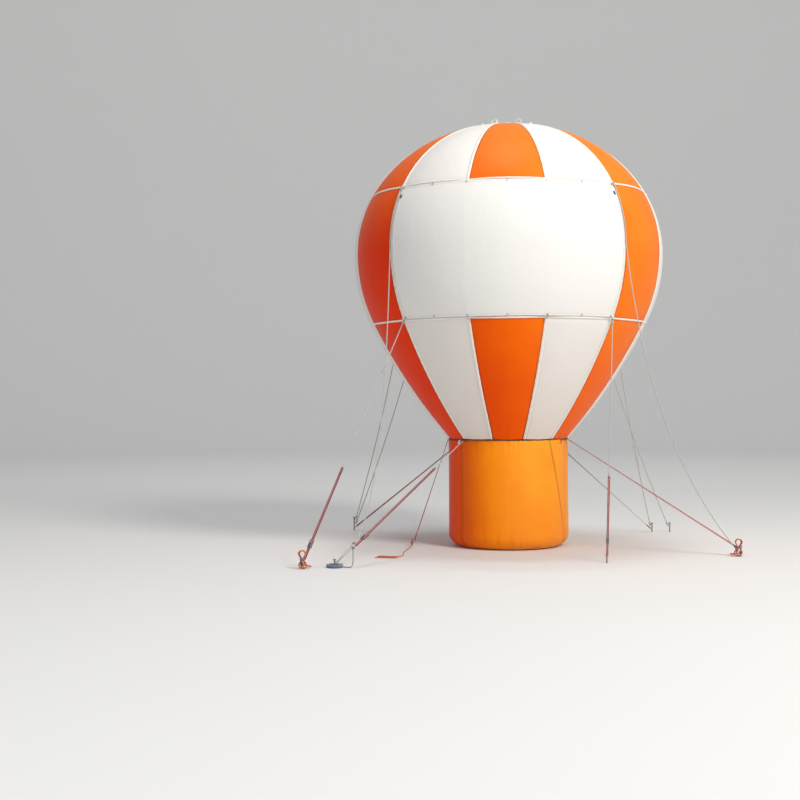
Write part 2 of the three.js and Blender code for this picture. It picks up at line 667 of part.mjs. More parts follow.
// A round bar along X or Y through the fan's axis, as a solid.
function barX(x0, x1, radius, sides = 24) {
  return bar(new THREE.Vector3(x0, FAN.y, FAN.z), new THREE.Vector3(x1, FAN.y, FAN.z), radius, sides);
}

function barY(y0, y1, radius, sides = 32) {
  return bar(new THREE.Vector3(0, y0, NOZZLE.z), new THREE.Vector3(0, y1, NOZZLE.z), radius, sides);
}

function boxBetween(low, high) {
  const geometry = new THREE.BoxGeometry(high[0] - low[0], high[1] - low[1], high[2] - low[2]);
  geometry.translate((low[0] + high[0]) / 2, (low[1] + high[1]) / 2, (low[2] + high[2]) / 2);
  return geometry;
}

function makeBlowerHousing() {
  const w = FAN.halfWidth;
  const s = FAN.skin;
  const outside = joined([
    barX(-w, w, FAN.scrollR, 32),
    boxBetween([-w, DUCT.frontY, DUCT.lowZ], [w, FAN.y, DUCT.highZ]),
    barY(NOZZLE.frontY, DUCT.frontY + s, NOZZLE.outerR),
  ]);
  const inside = joined([
    barX(-w + s, w - s, FAN.scrollR - s, 32),
    boxBetween([-w + s, DUCT.frontY + s, DUCT.lowZ + s], [w - s, FAN.y, DUCT.highZ - s]),
    barY(NOZZLE.frontY - 1, DUCT.frontY + 2 * s, DUCT.highZ - NOZZLE.z - 2 * s),
    barY(NOZZLE.frontY - 1, DUCT.frontY - 6, NOZZLE.outerR - NOZZLE.skin),
    barX(w - 2 * s, w + 1, INLET_R),
    barX(-w - 1, -w + 2 * s, MOTOR.bossR + 2),
  ]);
  add('blower_housing', geometryOf(outside.subtract(inside)), plastic(new THREE.Color(0x2b2e33)));
}

function makeBlowerStand() {
  const low = FAN.z - FAN.scrollR;
  const plates = [boxBetween([-120, FAN.y - 150, 0], [120, FAN.y + 150, 6])];
  for (const x of [-75, 65]) plates.push(boxBetween([x, FAN.y - 120, 3], [x + 10, FAN.y + 120, low + 60]));
  const stand = joined(plates).subtract(solidOf(barX(-130, 130, FAN.scrollR + SEAT, 32)));
  add('blower_stand', geometryOf(stand), steel(new THREE.Color(0x3a3a3c)));
}

// Guard over the air inlet: rings and spokes in one piece.
function makeInletGuard() {
  const x0 = FAN.halfWidth + SEAT;
  const thick = 5;
  const pieces = [];
  for (const r of [108, 72, 36]) {
    const outline = [[r - 5, 0], [r, 0], [r, thick], [r - 5, thick], [r - 5, 0]];
    const ring = new THREE.LatheGeometry(outline.map(([a, b]) => new THREE.Vector2(a, b)), 16);
    ring.rotateZ(-Math.PI / 2);
    ring.translate(x0, FAN.y, FAN.z);
    pieces.push(ring);
  }
  for (let i = 0; i < 4; i += 1) {
    const spoke = new THREE.BoxGeometry(thick, 212, 5);
    spoke.rotateX(i * Math.PI / 4 + 0.1);
    spoke.translate(x0 + thick / 2, FAN.y, FAN.z);
    pieces.push(spoke);
  }
  add('blower_inlet_guard', geometryOf(joined(pieces)), steel(new THREE.Color(0x8a8d90)));
}

function makeMotor() {
  const face = -FAN.halfWidth - SEAT;
  const pieces = [
    barX(face - MOTOR.length, face, MOTOR.r, 20),
    barX(face - 1, -FAN.halfWidth + 8, MOTOR.bossR, 20),
    boxBetween([face - 130, FAN.y - 38, FAN.z + MOTOR.r - 10], [face - 30, FAN.y + 38, FAN.z + MOTOR.r + 45]),
    bar(
      new THREE.Vector3(face - 80, FAN.y + 30, FAN.z + MOTOR.r + 20),
      new THREE.Vector3(face - 80, FAN.y + 66, FAN.z + MOTOR.r + 20),
      12,
      10,
    ),
  ];
  add('blower_motor', geometryOf(joined(pieces)), steel(new THREE.Color(0x4a4d52)));
}

// Fan wheel: back plate, hub, shaft, curved blades and front ring.
function makeImpeller() {
  const w = IMPELLER.halfWidth;
  const pieces = [
    barX(-w, -w + 5, IMPELLER.r, 36),
    barX(-w, -w + 45, IMPELLER.hubR, 16),
    barX(-FAN.halfWidth + 8 + SEAT, -w + 2, IMPELLER.shaftR, 12),
  ];
  const rim = [[IMPELLER.r - 26, w - 5], [IMPELLER.r, w - 5], [IMPELLER.r, w], [IMPELLER.r - 26, w]];
  rim.push(rim[0]);
  const ring = new THREE.LatheGeometry(rim.map(([a, b]) => new THREE.Vector2(a, b)), 36);
  ring.rotateZ(-Math.PI / 2);
  ring.translate(0, FAN.y, FAN.z);
  pieces.push(ring);
  for (let i = 0; i < IMPELLER.blades; i += 1) {
    const blade = new THREE.BoxGeometry(2 * w - 6, 3, 24);
    blade.rotateX(0.6);
    blade.translate(0, 0, IMPELLER.r - 14);
    blade.rotateX(i * 2 * Math.PI / IMPELLER.blades);
    blade.translate(0, FAN.y, FAN.z);
    pieces.push(blade);
  }
  add('blower_impeller', geometryOf(joined(pieces)), plastic(new THREE.Color(0x26282b)));
}

function makeHandle() {
  const top = FAN.z + FAN.scrollR + SEAT;
  const y = FAN.y + 10;
  const arch = new THREE.CatmullRomCurve3([
    new THREE.Vector3(-62, y, top), new THREE.Vector3(-60, y, top + 34), new THREE.Vector3(-40, y, top + 46),
    new THREE.Vector3(40, y, top + 46), new THREE.Vector3(60, y, top + 34), new THREE.Vector3(62, y, top),
  ]);
  const section = new THREE.Shape().absarc(0, 0, 8, 0, 2 * Math.PI, false);
  const tube = new THREE.ExtrudeGeometry(section, {
    steps: 10,
    curveSegments: 4,
    bevelEnabled: false,
    extrudePath: arch,
  });
  const feet = [-62, 62].map((x) => boxBetween([x - 14, y - 14, top], [x + 14, y + 14, top + 8]));
  add('blower_handle', geometryOf(joined([tube, ...feet])), plastic(new THREE.Color(0x1d1f22)));
}

// Cloth sleeve from the base to the blower's nozzle, and the strap that ties it on.
function makeSleeve() {
  const tube = solidOf(barY(700, SLEEVE.backY, SLEEVE.outerR, 32))
    .subtract(solidOf(barY(690, SLEEVE.backY + 1, SLEEVE.innerR, 32)))
    .subtract(solidOf(bar(new THREE.Vector3(0, 0, -100), new THREE.Vector3(0, 0, 1000), BASE_R + SEAT, 36)));
  add('air_sleeve', geometryOf(tube), cloth(ORANGE));
  const inner = SLEEVE.outerR + SEAT;
  const strap = solidOf(barY(1166, 1192, inner + 4, 32)).subtract(solidOf(barY(1160, 1200, inner, 32)));
  add('sleeve_strap', geometryOf(strap), cloth(new THREE.Color(0x1e1e20)));
}

makeGores();
makeCrown();
makeSeamTapes();
makeBanners();
makeBase();
makeNeckBand();
makeStays();
makeSling();
makeStakes();
makeSpareRopes();
makeBlowerHousing();
makeBlowerStand();
makeInletGuard();
makeMotor();
makeImpeller();
makeHandle();
makeSleeve();

export default balloon;
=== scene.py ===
"""Cold-air advertising balloon on its inflated base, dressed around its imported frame. Units are metres.

The front looks along -Y. Angles around the balloon start at the front and grow towards the right, +X.
"""

import json
import math

import bpy
import numpy as np
from mathutils import Matrix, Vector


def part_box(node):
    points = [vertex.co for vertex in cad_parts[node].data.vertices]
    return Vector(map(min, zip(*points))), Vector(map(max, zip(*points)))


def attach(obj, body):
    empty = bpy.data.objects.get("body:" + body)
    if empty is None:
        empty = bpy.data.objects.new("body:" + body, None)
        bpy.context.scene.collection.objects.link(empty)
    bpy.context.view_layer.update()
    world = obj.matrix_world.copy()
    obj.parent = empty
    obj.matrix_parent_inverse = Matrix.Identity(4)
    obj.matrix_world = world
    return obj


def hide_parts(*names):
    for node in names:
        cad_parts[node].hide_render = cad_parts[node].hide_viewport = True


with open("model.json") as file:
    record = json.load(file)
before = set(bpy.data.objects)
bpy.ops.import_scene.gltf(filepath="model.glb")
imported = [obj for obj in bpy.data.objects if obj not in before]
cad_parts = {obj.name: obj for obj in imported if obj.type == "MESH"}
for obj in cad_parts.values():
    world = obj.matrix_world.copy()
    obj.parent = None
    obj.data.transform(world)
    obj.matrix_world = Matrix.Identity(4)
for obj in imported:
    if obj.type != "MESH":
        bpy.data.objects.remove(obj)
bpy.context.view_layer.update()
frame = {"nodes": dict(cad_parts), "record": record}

TAU = 2 * math.pi

# Envelope, by the same driving dimensions as the frame
HEIGHT = 6.1
EQUATOR_Z = 4.2
EQUATOR_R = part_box("gore_04")[1].x
UPPER_SEAM_Z = 5.029
LOWER_SEAM_Z = 3.2
BULGE_RADIUS = 2.22
CROWN_POWER = 2.01
NECK_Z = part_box("gore_01")[0].z
NECK_R = 0.872
PATCH_R = 0.38
GORES = 12
HALF_GORE = math.pi / GORES
LOBE = 0.020
CLOTH = 0.003
BANNER_HALF = math.radians(43.7)

# Base
BASE_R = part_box("base_wall")[1].x
BASE_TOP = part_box("base_wall")[1].z
FLOOR_R = 0.64
BASE_SEAMS = (-50, 72, -170)  # degrees from the front
CREASES = ((42, 29, 0.013, 0.018), (150, 30, 0.008, 0.022))  # angle at the top, sweep, depth, half width

# Spare ropes, stays and stakes
CORD_R = 0.007
ROPE_R = 0.008
STRAP_THICK = 0.005
STAND_OFF = 0.022
HEAD_REACH = 0.0143
EYE_OFF = 0.034
RING_R = 0.0112

# Place and height of each stake
STAKES = {
    "stake_front_left": (-2.610, -2.795, 0.130),
    "stake_front_left_inner": (-2.205, -2.690, 0.110),
    "stake_left": (-1.397, -0.223, 0.110),
    "stake_front_right": (1.267, -2.077, 0.105),
    "stake_right": (3.118, -1.246, 0.140),
    "stake_back_right": (2.550, 1.900, 0.150),
    "stake_back_right_inner": (2.271, 1.893, 0.150),
    "stake_back_left": (-2.500, 2.000, 0.225),
}
SLING_PIN = (-1.961, -2.750, 0.250, 0.330)

# Columns: ring, angle of the lug, anchor, height of its eye, share that is rope, strap width, pull of the sag
STAYS = {
    "upper_front_left": ("upper", -45, "sling", 0.315, 1, 0, 2.650),
    "upper_front_right": ("upper", 45, "stake_right", 0.060, 1, 0, 1.890),
    "upper_back_right": ("upper", 135, "stake_back_right_inner", 0.110, 1, 0, 0.800),
    "upper_back_left": ("upper", -135, "stake_back_left", 0.190, 1, 0, 0.800),
    "lower_front_left": ("lower", -45, "stake_front_left", 0.095, 0.63, 0.050, 0),
    "lower_front_right": ("lower", 45, "stake_front_right", 0.070, 0.67, 0.030, 0),
    "lower_back_right": ("lower", 135, "stake_back_right", 0.110, 1, 0, 0.255),
    "lower_back_left": ("lower", -135, "stake_back_left", 0.120, 1, 0, 0.255),
    "neck_front_left": ("neck", -45, "sling", 0.270, 0.28, 0.050, 0),
    "neck_left": ("neck", -75, "stake_left", 0.070, 0, 0.030, 0),
    "neck_right": ("neck", 75, "stake_right", 0.105, 0, 0.030, 0),
    "neck_back_right": ("neck", 135, "stake_back_right_inner", 0.060, 0, 0.030, 0),
    "neck_back_left": ("neck", -135, "stake_back_left", 0.060, 0, 0.030, 0),
}

# Routes of the spare ropes from the foot of their stake, each point to the right, to the back and up
TAIL_FRONT_LEFT = [
    (0.0303, 0, 0.040), (0.060, 0, 0.040), (0.085, 0, 0.038), (0.114, -0.012, 0.036),
    (0.1265, -0.0415, 0.034), (0.114, -0.071, 0.032), (0.088, -0.083, 0.030), (0.0753, -0.083, 0.030),
]
TAIL_FRONT_LEFT_INNER = [
    (0.244, -0.060, 0.2497), (0.244, -0.060, 0.200), (0.244, -0.060, 0.140), (0.243, -0.059, 0.090),
    (0.238, -0.055, 0.048), (0.222, -0.044, 0.019), (0.198, -0.027, 0.009), (0.170, -0.010, 0.0075),
    (0.140, 0, 0.0075),
]
COIL_ENTRY = [(0.1130, 0.0190, 0.0075), (0.0985, 0.0390, 0.0076)]
TAIL_LEFT = [(0, -0.0303, 0.030), (0, -0.060, 0.030), (-0.001, -0.100, 0.020), (-0.004, -0.150, 0.009)] + [
    (x, y, 0.0075) for x, y in (
        (-0.010, -0.220), (-0.022, -0.360), (-0.038, -0.540), (-0.050, -0.740), (-0.052, -0.930),
        (-0.042, -1.090), (-0.036, -1.200), (-0.052, -1.290), (-0.110, -1.335), (-0.200, -1.325),
        (-0.290, -1.290), (-0.352, -1.300), (-0.366, -1.355), (-0.310, -1.392), (-0.215, -1.380),
        (-0.130, -1.390), (-0.096, -1.440), (-0.140, -1.485), (-0.235, -1.475), (-0.330, -1.450),
        (-0.395, -1.470))]
TAIL_RIGHT = [
    (-0.0303, 0, 0.034), (-0.060, 0, 0.034), (-0.110, 0, 0.033), (-0.139, -0.012, 0.033),
    (-0.1515, -0.0415, 0.032), (-0.139, -0.071, 0.031), (-0.113, -0.083, 0.030), (-0.1003, -0.083, 0.030),
]

# Blower
FAN = np.array([0.0, 1.480, 0.235])
NOZZLE_Z = 0.335


# Camera and stage

def add_object(name, data):
    thing = bpy.data.objects.new(name, data)
    bpy.context.scene.collection.objects.link(thing)
    return thing


def make_camera():
    """Camera at eye height in front of the balloon, turned by yaw about Z, pitch and roll."""
    yaw, pitch, roll = (math.radians(a) for a in (4.668, -0.12, 0.278))
    data = bpy.data.cameras.new("camera")
    data.lens = 59.472
    data.sensor_width = 36
    data.clip_end = 200
    camera = add_object("camera", data)
    turn = Matrix.Rotation(yaw, 4, "Z") @ Matrix.Rotation(math.pi / 2 + pitch, 4, "X")
    camera.matrix_world = Matrix.Translation((0, -19.35, 2.16)) @ turn @ Matrix.Rotation(-roll, 4, "Z")
    bpy.context.scene.camera = camera


def add_light(name, place, target, size, power, colour):
    data = bpy.data.lights.new(name, "AREA")
    data.shape = "DISK"
    data.size = size
    data.energy = power
    data.color = colour
    light = add_object(name, data)
    light.location = place
    x, y, z = (b - a for a, b in zip(place, target))
    light.rotation_euler = (math.atan2(math.hypot(x, y), -z), 0, math.pi + math.atan2(x, -y))


def make_stage():
    """Large soft key light from the right, a weak fill, an even pale sky, and a round floor that curves up
    into a wall all round, lit by a lamp of its own on each side."""
    add_light("key", (13.5, -15.0, 17.0), (0, 0, 3.0), 8.0, 4200, (1.0, 0.965, 0.91))
    add_light("fill", (-12.0, -16.0, 8.0), (0, 0, 2.5), 9.0, 260, (0.90, 0.95, 1.0))
    add_light("wall_back", (0, 4.0, 36.0), (0, 56.0, 16.0), 12.0, 6500, (1.0, 1.0, 1.0))
    add_light("wall_front", (0, -4.0, 36.0), (0, -56.0, 16.0), 12.0, 7000, (1.0, 1.0, 1.0))
    world = bpy.context.scene.world = bpy.data.worlds.new("studio")
    world.use_nodes = True
    sky = world.node_tree.nodes["Background"].inputs
    sky["Color"].default_value = (0.93, 0.95, 1.0, 1)
    sky["Strength"].default_value = 0.35
    reach, cove, top, sides = 34.0, 22.0, 44.0, 96
    bend = np.linspace(0, math.pi / 2, 33)
    r = np.concatenate([[1.0], reach + cove * np.sin(bend), [reach + cove]])[:, None]
    z = np.concatenate([[0], cove * (1 - np.cos(bend)), [top]])[:, None]
    turn = circle(sides)
    points = stack(r * np.cos(turn), r * np.sin(turn), z)
    faces = grid_part(points, around=True)["quads"][:, ::-1]
    mesh = bpy.data.meshes.new("floor")
    mesh.from_pydata(points.reshape(-1, 3).tolist(), [], [tuple(range(sides))] + faces.tolist())
    mesh.polygons.foreach_set("use_smooth", [True] * len(mesh.polygons))
    new_material("pale_floor", (0.74, 0.74, 0.73), 0.85)
    mesh.materials.append(FINISH["pale_floor"])
    add_object("floor", mesh)
    bpy.context.scene.view_settings.view_transform = "Standard"


# Materials

FINISH = {}


def new_material(name, colour, roughness, **more):
    """A material whose shader's own sockets hold every number that is the same all over."""
    material = FINISH[name] = bpy.data.materials.new(name)
    material.use_nodes = True
    sockets = material.node_tree.nodes["Principled BSDF"].inputs
    for socket, value in {"Base_Color": (*colour, 1), "Roughness": roughness, **more}.items():
        sockets[socket.replace("_", " ")].default_value = value
    return material


def feed(material, socket, value):
    """Links a socket to another node's output, or gives it a number."""
    if isinstance(value, bpy.types.NodeSocket):
        material.node_tree.links.new(value, socket)
    else:
        socket.default_value = value


def add_node(material, kind, feeds, **settings):
    node = material.node_tree.nodes.new("ShaderNode" + kind)
    for key, value in settings.items():
        setattr(node, key, value)
    for key, value in feeds.items():
        feed(material, node.inputs[key], value)
    return node


def wire(material, **outputs):
    """Links outputs to the shader's own sockets."""
    for socket, output in outputs.items():
        feed(material, material.node_tree.nodes["Principled BSDF"].inputs[socket.replace("_", " ")], output)


def scaled(material, kind, scale=(1, 1, 1)):
    """Coordinates of one kind, Object or UV, times a scale for each direction."""
    source = add_node(material, "TexCoord", {}).outputs[kind]
    return add_node(material, "Mapping", {"Vector": source, "Scale": scale}).outputs["Vector"]


def noise(material, vector, scale, detail=2.0, rough=0.5):
    feeds = {"Vector": vector, "Scale": scale, "Detail": detail, "Roughness": rough}
    return add_node(material, "TexNoise", feeds).outputs["Fac"]


def ramp(material, value, start, stop, first, last):
    """A value that runs from first to last while another runs from start to stop."""
    feeds = {"Value": value, "From Min": start, "From Max": stop, "To Min": first, "To Max": last}
    return add_node(material, "MapRange", feeds).outputs["Result"]


def mix_colour(material, share, first, second):
    node = add_node(material, "Mix", {}, data_type="RGBA")
    for index, value in ((0, share), (6, first), (7, second)):
        feed(material, node.inputs[index], (*value, 1) if isinstance(value, tuple) else value)
    return node.outputs[2]


def layered(material, tone, *layers):
    """Lays colours over a tone one by one. A layer is a ramp's value, start, stop, first and last share,
    and its colour."""
    for *steps, colour in layers:
        tone = mix_colour(material, ramp(material, *steps), tone, colour)
    return tone


def bump(material, height, strength, distance, **under):
    feeds = {"Height": height, "Strength": strength, "Distance": distance, **under}
    return add_node(material, "Bump", feeds).outputs["Normal"]


def stripes(material, vector, pitch, way, **more):
    feeds = {"Vector": vector, "Scale": 0.31 / pitch, **more}
    return add_node(material, "TexWave", feeds, bands_direction=way).outputs["Fac"]


def shaded(colour, share):
    return tuple(c * share for c in colour)


def coated_cloth(name, colour, shaded_side_and_patch_tone, painted_highlight_tone, seam_shade, gloss, low, turns=(-1.1, 0.1, 0.8), satin=0.40):
    """Coated balloon cloth. Its colour carries painted light: a painted highlight towards the top and towards
    +X, painted shade towards -X, and painted shade towards the neck, where it turns to low. It also varies
    in soft patches. It is darker beside the seams, where the attribute seam says how near they are: painted
    shade of the seams' valleys, with some grime. Its bump has a fine weave, two crossed waves of its UV in
    metres, and slack ripples."""
    material = new_material(name, colour, satin, Specular_IOR_Level=0.14, Specular_Tint=(*gloss, 1))
    place = scaled(material, "Object")
    axes = add_node(material, "SeparateXYZ", {"Vector": place}).outputs
    patches = noise(material, place, 0.9, 3.0, 0.55)
    specks = noise(material, place, 38.0, 5.0, 0.7)
    near = add_node(material, "Attribute", {}, attribute_name="seam").outputs["Fac"]
    # Painted highlight: lighter towards +X, the side the key light comes from.
    tone = layered(material, colour, (axes["X"], turns[1], turns[2], 0.0, 0.75, painted_highlight_tone))
    # Painted shade: darker towards the neck.
    if low:
        tone = layered(material, tone, (axes["Z"], 3.7, 1.6, 0.0, 0.75, low))
    # Painted shade: darker towards -X, away from the key light.
    tone = mix_colour(material, ramp(material, axes["X"], turns[0], turns[1], 0.0, 1.0), shaded_side_and_patch_tone, tone)
    # Random patches, painted highlight towards the top, dirt specks, painted seam shade with some grime.
    tone = layered(material, tone, (patches, 0.35, 0.7, 0.0, 0.35, shaded_side_and_patch_tone),
                   (axes["Z"], 4.2, 6.1, 0.0, 0.75, painted_highlight_tone),
                   (specks, 0.55, 0.8, 0.0, 0.10, (0.12, 0.09, 0.07)),
                   (near, 0.0, 1.0, 0.0, seam_shade, (0.10, 0.03, 0.015)))
    ripples = noise(material, scaled(material, "Object", (1, 1, 0.45)), 7.0, 3.0)
    uv = scaled(material, "UV")
    threads = {0: stripes(material, uv, 0.0016, "X"), 1: stripes(material, uv, 0.0016, "Y")}
    weave = add_node(material, "Math", threads, operation="MULTIPLY").outputs[0]
    soft = bump(material, ripples, 0.5, 0.010)
    wire(material, Base_Color=tone, Roughness=ramp(material, specks, 0.3, 0.7, satin * 0.9, satin * 1.25),
         Normal=bump(material, weave, 0.25, 0.0004, Normal=soft))


def webbing(name, colour, stripe=None, dirt=0.55):
    """Woven webbing: ribs across in the bump from its UV, a paler band down the middle if it has one, which
    is a painted highlight, and grime in soft patches. UV u runs across in metres from the middle, v runs
    along."""
    material = new_material(name, colour, 0.75, Sheen_Weight=0.3)
    grime = noise(material, scaled(material, "Object"), 22.0, 5.0, 0.65)
    uv = scaled(material, "UV")
    tone = colour
    # Painted highlight: a paler band down the middle of the strap.
    if stripe:
        across = add_node(material, "SeparateXYZ", {"Vector": uv}).outputs["X"]
        off = add_node(material, "Math", {0: across}, operation="ABSOLUTE").outputs[0]
        tone = layered(material, tone, (off, 0.0055, 0.0070, 1.0, 0.0, stripe))
    tone = layered(material, tone, (grime, 0.45, 0.8, 0.0, dirt, shaded(colour, 0.35)))
    ribs = stripes(material, uv, 0.0024, "Y", Distortion=0.4)
    wire(material, Base_Color=tone, Normal=bump(material, ribs, 0.6, 0.0008))


def rope_fibre(name, colour, pale):
    """Twisted rope: fibres run along the strands in the bump, and painted shade darkens the grooves between
    the strands, so that their crowns are paler.
    """
    material = new_material(name, colour, 0.8, Sheen_Weight=0.25)
    fibres = noise(material, scaled(material, "UV", (900.0, 40.0, 1)), 1.0, 4.0)
    crown = add_node(material, "Attribute", {}, attribute_name="seam").outputs["Fac"]
    # Painted shade in the grooves between the strands, where the attribute seam is low.
    tone = mix_colour(material, crown, shaded(colour, 0.45), colour)
    tone = layered(material, tone, (fibres, 0.45, 0.75, 0.0, 0.6, pale))
    wire(material, Base_Color=tone, Normal=bump(material, fibres, 0.5, 0.0008))


def worn_metal(name, colour, worn, roughness, metallic, scale):
    """Metal or paint with scuffs: patches of another tone, brushed scratches in the bump, uneven gloss."""
    material = new_material(name, colour, roughness, Metallic=metallic)
    scuffs = noise(material, scaled(material, "Object"), scale, 6.0, 0.7)
    brushed = noise(material, scaled(material, "Object", (400, 400, 40)), 1.0)
    gloss = ramp(material, scuffs, 0.3, 0.75, roughness * 0.8, roughness * 1.3)
    tone = layered(material, colour, (scuffs, 0.52, 0.72, 0.0, 1.0, worn))
    wire(material, Base_Color=tone, Roughness=gloss, Normal=bump(material, brushed, 0.25, 0.0004))


def moulded_plastic(name, colour, roughness):
    """Moulded plastic: a fine grained skin in the bump, pale rubbed specks and uneven gloss."""
    material = new_material(name, colour, roughness, Specular_IOR_Level=0.4)
    place = scaled(material, "Object")
    rubbed = noise(material, place, 16.0, 6.0, 0.75)
    gloss = ramp(material, rubbed, 0.3, 0.7, roughness * 0.85, roughness * 1.2)
    tone = layered(material, colour, (rubbed, 0.58, 0.85, 0.0, 0.5, (0.16, 0.155, 0.15)))
    grain = noise(material, place, 900.0)
    wire(material, Base_Color=tone, Roughness=gloss, Normal=bump(material, grain, 0.35, 0.0003))


def make_finishes():
    # Colour, painted shade of -X, painted highlight of +X and top, seam shade, specular tint, painted neck
    # shade
    coated_cloth("orange_cloth", (0.99, 0.160, 0.001), (0.83, 0.036, 0.002), (0.96, 0.245, 0.02), 0.75,
                 (1.0, 0.62, 0.30), (0.98, 0.100, 0.001))
    coated_cloth("base_cloth", (0.99, 0.275, 0.005), (0.84, 0.050, 0.002), (0.98, 0.410, 0.034), 0.60,
                 (1.0, 0.75, 0.45), None, (-0.80, -0.26, 0.22), 0.34)
    coated_cloth("white_cloth", (0.84, 0.81, 0.77), (0.80, 0.76, 0.72), (0.88, 0.86, 0.83), 0.12,
                 (1.0, 1.0, 1.0), (0.82, 0.76, 0.71))
    coated_cloth("banner_cloth", (0.86, 0.845, 0.82), (0.83, 0.81, 0.785), (0.86, 0.845, 0.82), 0.10,
                 (1.0, 1.0, 1.0), (0.84, 0.82, 0.79))
    webbing("white_tape", (0.93, 0.87, 0.79), dirt=0.12)
    webbing("dark_webbing", (0.055, 0.035, 0.028))
    # The red webbing's paler middle band is a painted highlight.
    webbing("red_webbing", (0.27, 0.012, 0.012), (0.62, 0.27, 0.24))
    webbing("white_webbing", (0.66, 0.66, 0.67), dirt=0.30)
    rope_fibre("grey_rope", (0.62, 0.60, 0.57), (0.80, 0.79, 0.77))
    rope_fibre("orange_rope", (0.72, 0.13, 0.035), (0.85, 0.35, 0.16))
    rope_fibre("blue_rope", (0.20, 0.26, 0.38), (0.45, 0.50, 0.60))
    worn_metal("stake_steel", (0.33, 0.32, 0.31), (0.20, 0.10, 0.05), 0.42, 0.9, 30.0)
    moulded_plastic("blower_plastic", (0.022, 0.023, 0.026), 0.5)
    worn_metal("blower_steel", (0.035, 0.036, 0.040), (0.16, 0.15, 0.14), 0.45, 0.4, 24.0)
    worn_metal("guard_wire", (0.50, 0.51, 0.52), (0.36, 0.35, 0.33), 0.28, 1.0, 60.0)
    worn_metal("motor_steel", (0.060, 0.066, 0.078), (0.17, 0.17, 0.17), 0.4, 0.5, 30.0)
    moulded_plastic("fan_plastic", (0.040, 0.042, 0.046), 0.42)


def keep_finishes():
    """CAD nodes whose own shape is kept get their material from the record's slot."""
    slots = {row["node"]: row["material_slot"] for row in frame["record"]["subparts"]}
    for name, node in frame["nodes"].items():
        node.data.materials.clear()
        node.data.materials.append(FINISH[slots[name]])


# Meshes from arrays

def circle(count):
    return np.linspace(0, TAU, count, endpoint=False)


def stack(*values):
    """Arrays spread to one shape, as the coordinates of points or of a UV map."""
    return np.stack(np.broadcast_arrays(*values), -1)


def smooth_step(x):
    x = np.clip(x, 0, 1)
    return x * x * (3 - 2 * x)


def bell(x, width):
    return np.exp(-(x / width) ** 2)


def unit(vector):
    vector = np.array(vector, float)
    return vector / np.linalg.norm(vector)


def grid_part(points, uv=None, around=False, along=False, mark=0.0):
    """A grid of points, rows by columns, as quads. It may close around its columns or along its rows.

    Quad (i, j) joins points (i, j), (i, j+1), (i+1, j+1), (i+1, j), so that a grid whose columns run to the
    right and rows run up faces its viewer. uv has one more row or column where the grid closes."""
    rows, cols = points.shape[:2]
    i, j = np.indices((rows if along else rows - 1, cols if around else cols - 1))
    corners = [(i, j), (i, j + 1), (i + 1, j + 1), (i + 1, j)]
    if uv is None:
        uv = np.zeros((rows + 1, cols + 1, 2))
    return {"points": points.reshape(-1, 3), "tris": np.zeros((0, 3), int),
            "quads": np.stack([(a % rows) * cols + b % cols for a, b in corners], -1).reshape(-1, 4),
            "uv": np.stack([uv[a, b] for a, b in corners], 2).reshape(-1, 4, 2),
            "mark": np.broadcast_to(mark, (rows, cols)).ravel()}


def rings_part(points, uv=None, mark=0.0):
    """Rings of points along a way as one closed part. A fan of triangles from the middle closes each end."""
    part = grid_part(points, uv, around=True, mark=mark)
    rows, cols = points.shape[:2]
    first, count = np.arange(cols), rows * cols
    last = first + count - cols
    foot, head = stack(count, np.roll(first, -1), first), stack(count + 1, last, np.roll(last, -1))
    part["tris"] = np.concatenate([foot, head])
    part["points"] = np.concatenate([part["points"], points[:1].mean(1), points[-1:].mean(1)])
    part["mark"] = np.append(part["mark"], part["mark"][[0, count - cols]])
    return part


def shell_part(outer, inner, uv, mark=0.0, coarse=1):
    """A closed sheet between an outer and an inner grid: its section runs over the outer grid and back over
    each coarse-th column of the inner one, and triangles close its first and last rows."""
    rows, cols = outer.shape[:2]
    back = np.arange(cols - 1, -1, -coarse)
    total = cols + len(back)
    mark = np.broadcast_to(mark, (rows, cols))
    uv = np.concatenate([uv, uv[:, back], uv[:, :1]], 1)
    part = grid_part(np.concatenate([outer, inner[:, back]], 1), uv, around=True,
                     mark=np.concatenate([mark, mark[:, back]], 1))
    j, k = np.arange(cols - 1), np.arange(len(back) - 1)
    foot = np.concatenate([stack(j + 1, j, total - 1 - j // coarse),
                           stack((k + 1) * coarse, total - 1 - k, total - 2 - k)])
    part["tris"] = np.concatenate([foot, foot[:, ::-1] + (rows - 1) * total])
    return part


def round_shell(outer, inner, uv, step, mark=0.0):
    """A closed sheet that runs all round: over its outer rows and back over each step-th inner row. uv
    gives u around and v for the outer rows."""
    mark = np.broadcast_to(mark, outer.shape[:2])
    u, v = uv
    v = np.concatenate([v, v[::-step], v[:1]])
    return grid_part(np.concatenate([outer, inner[::-step]]), stack(u, v), around=True, along=True,
                     mark=np.concatenate([mark, mark[::-step]]))


def full_round(turn, scale):
    """A row of UV for a grid that closes around: its angles and one full turn, times a scale."""
    return np.append(turn, TAU)[None] * scale


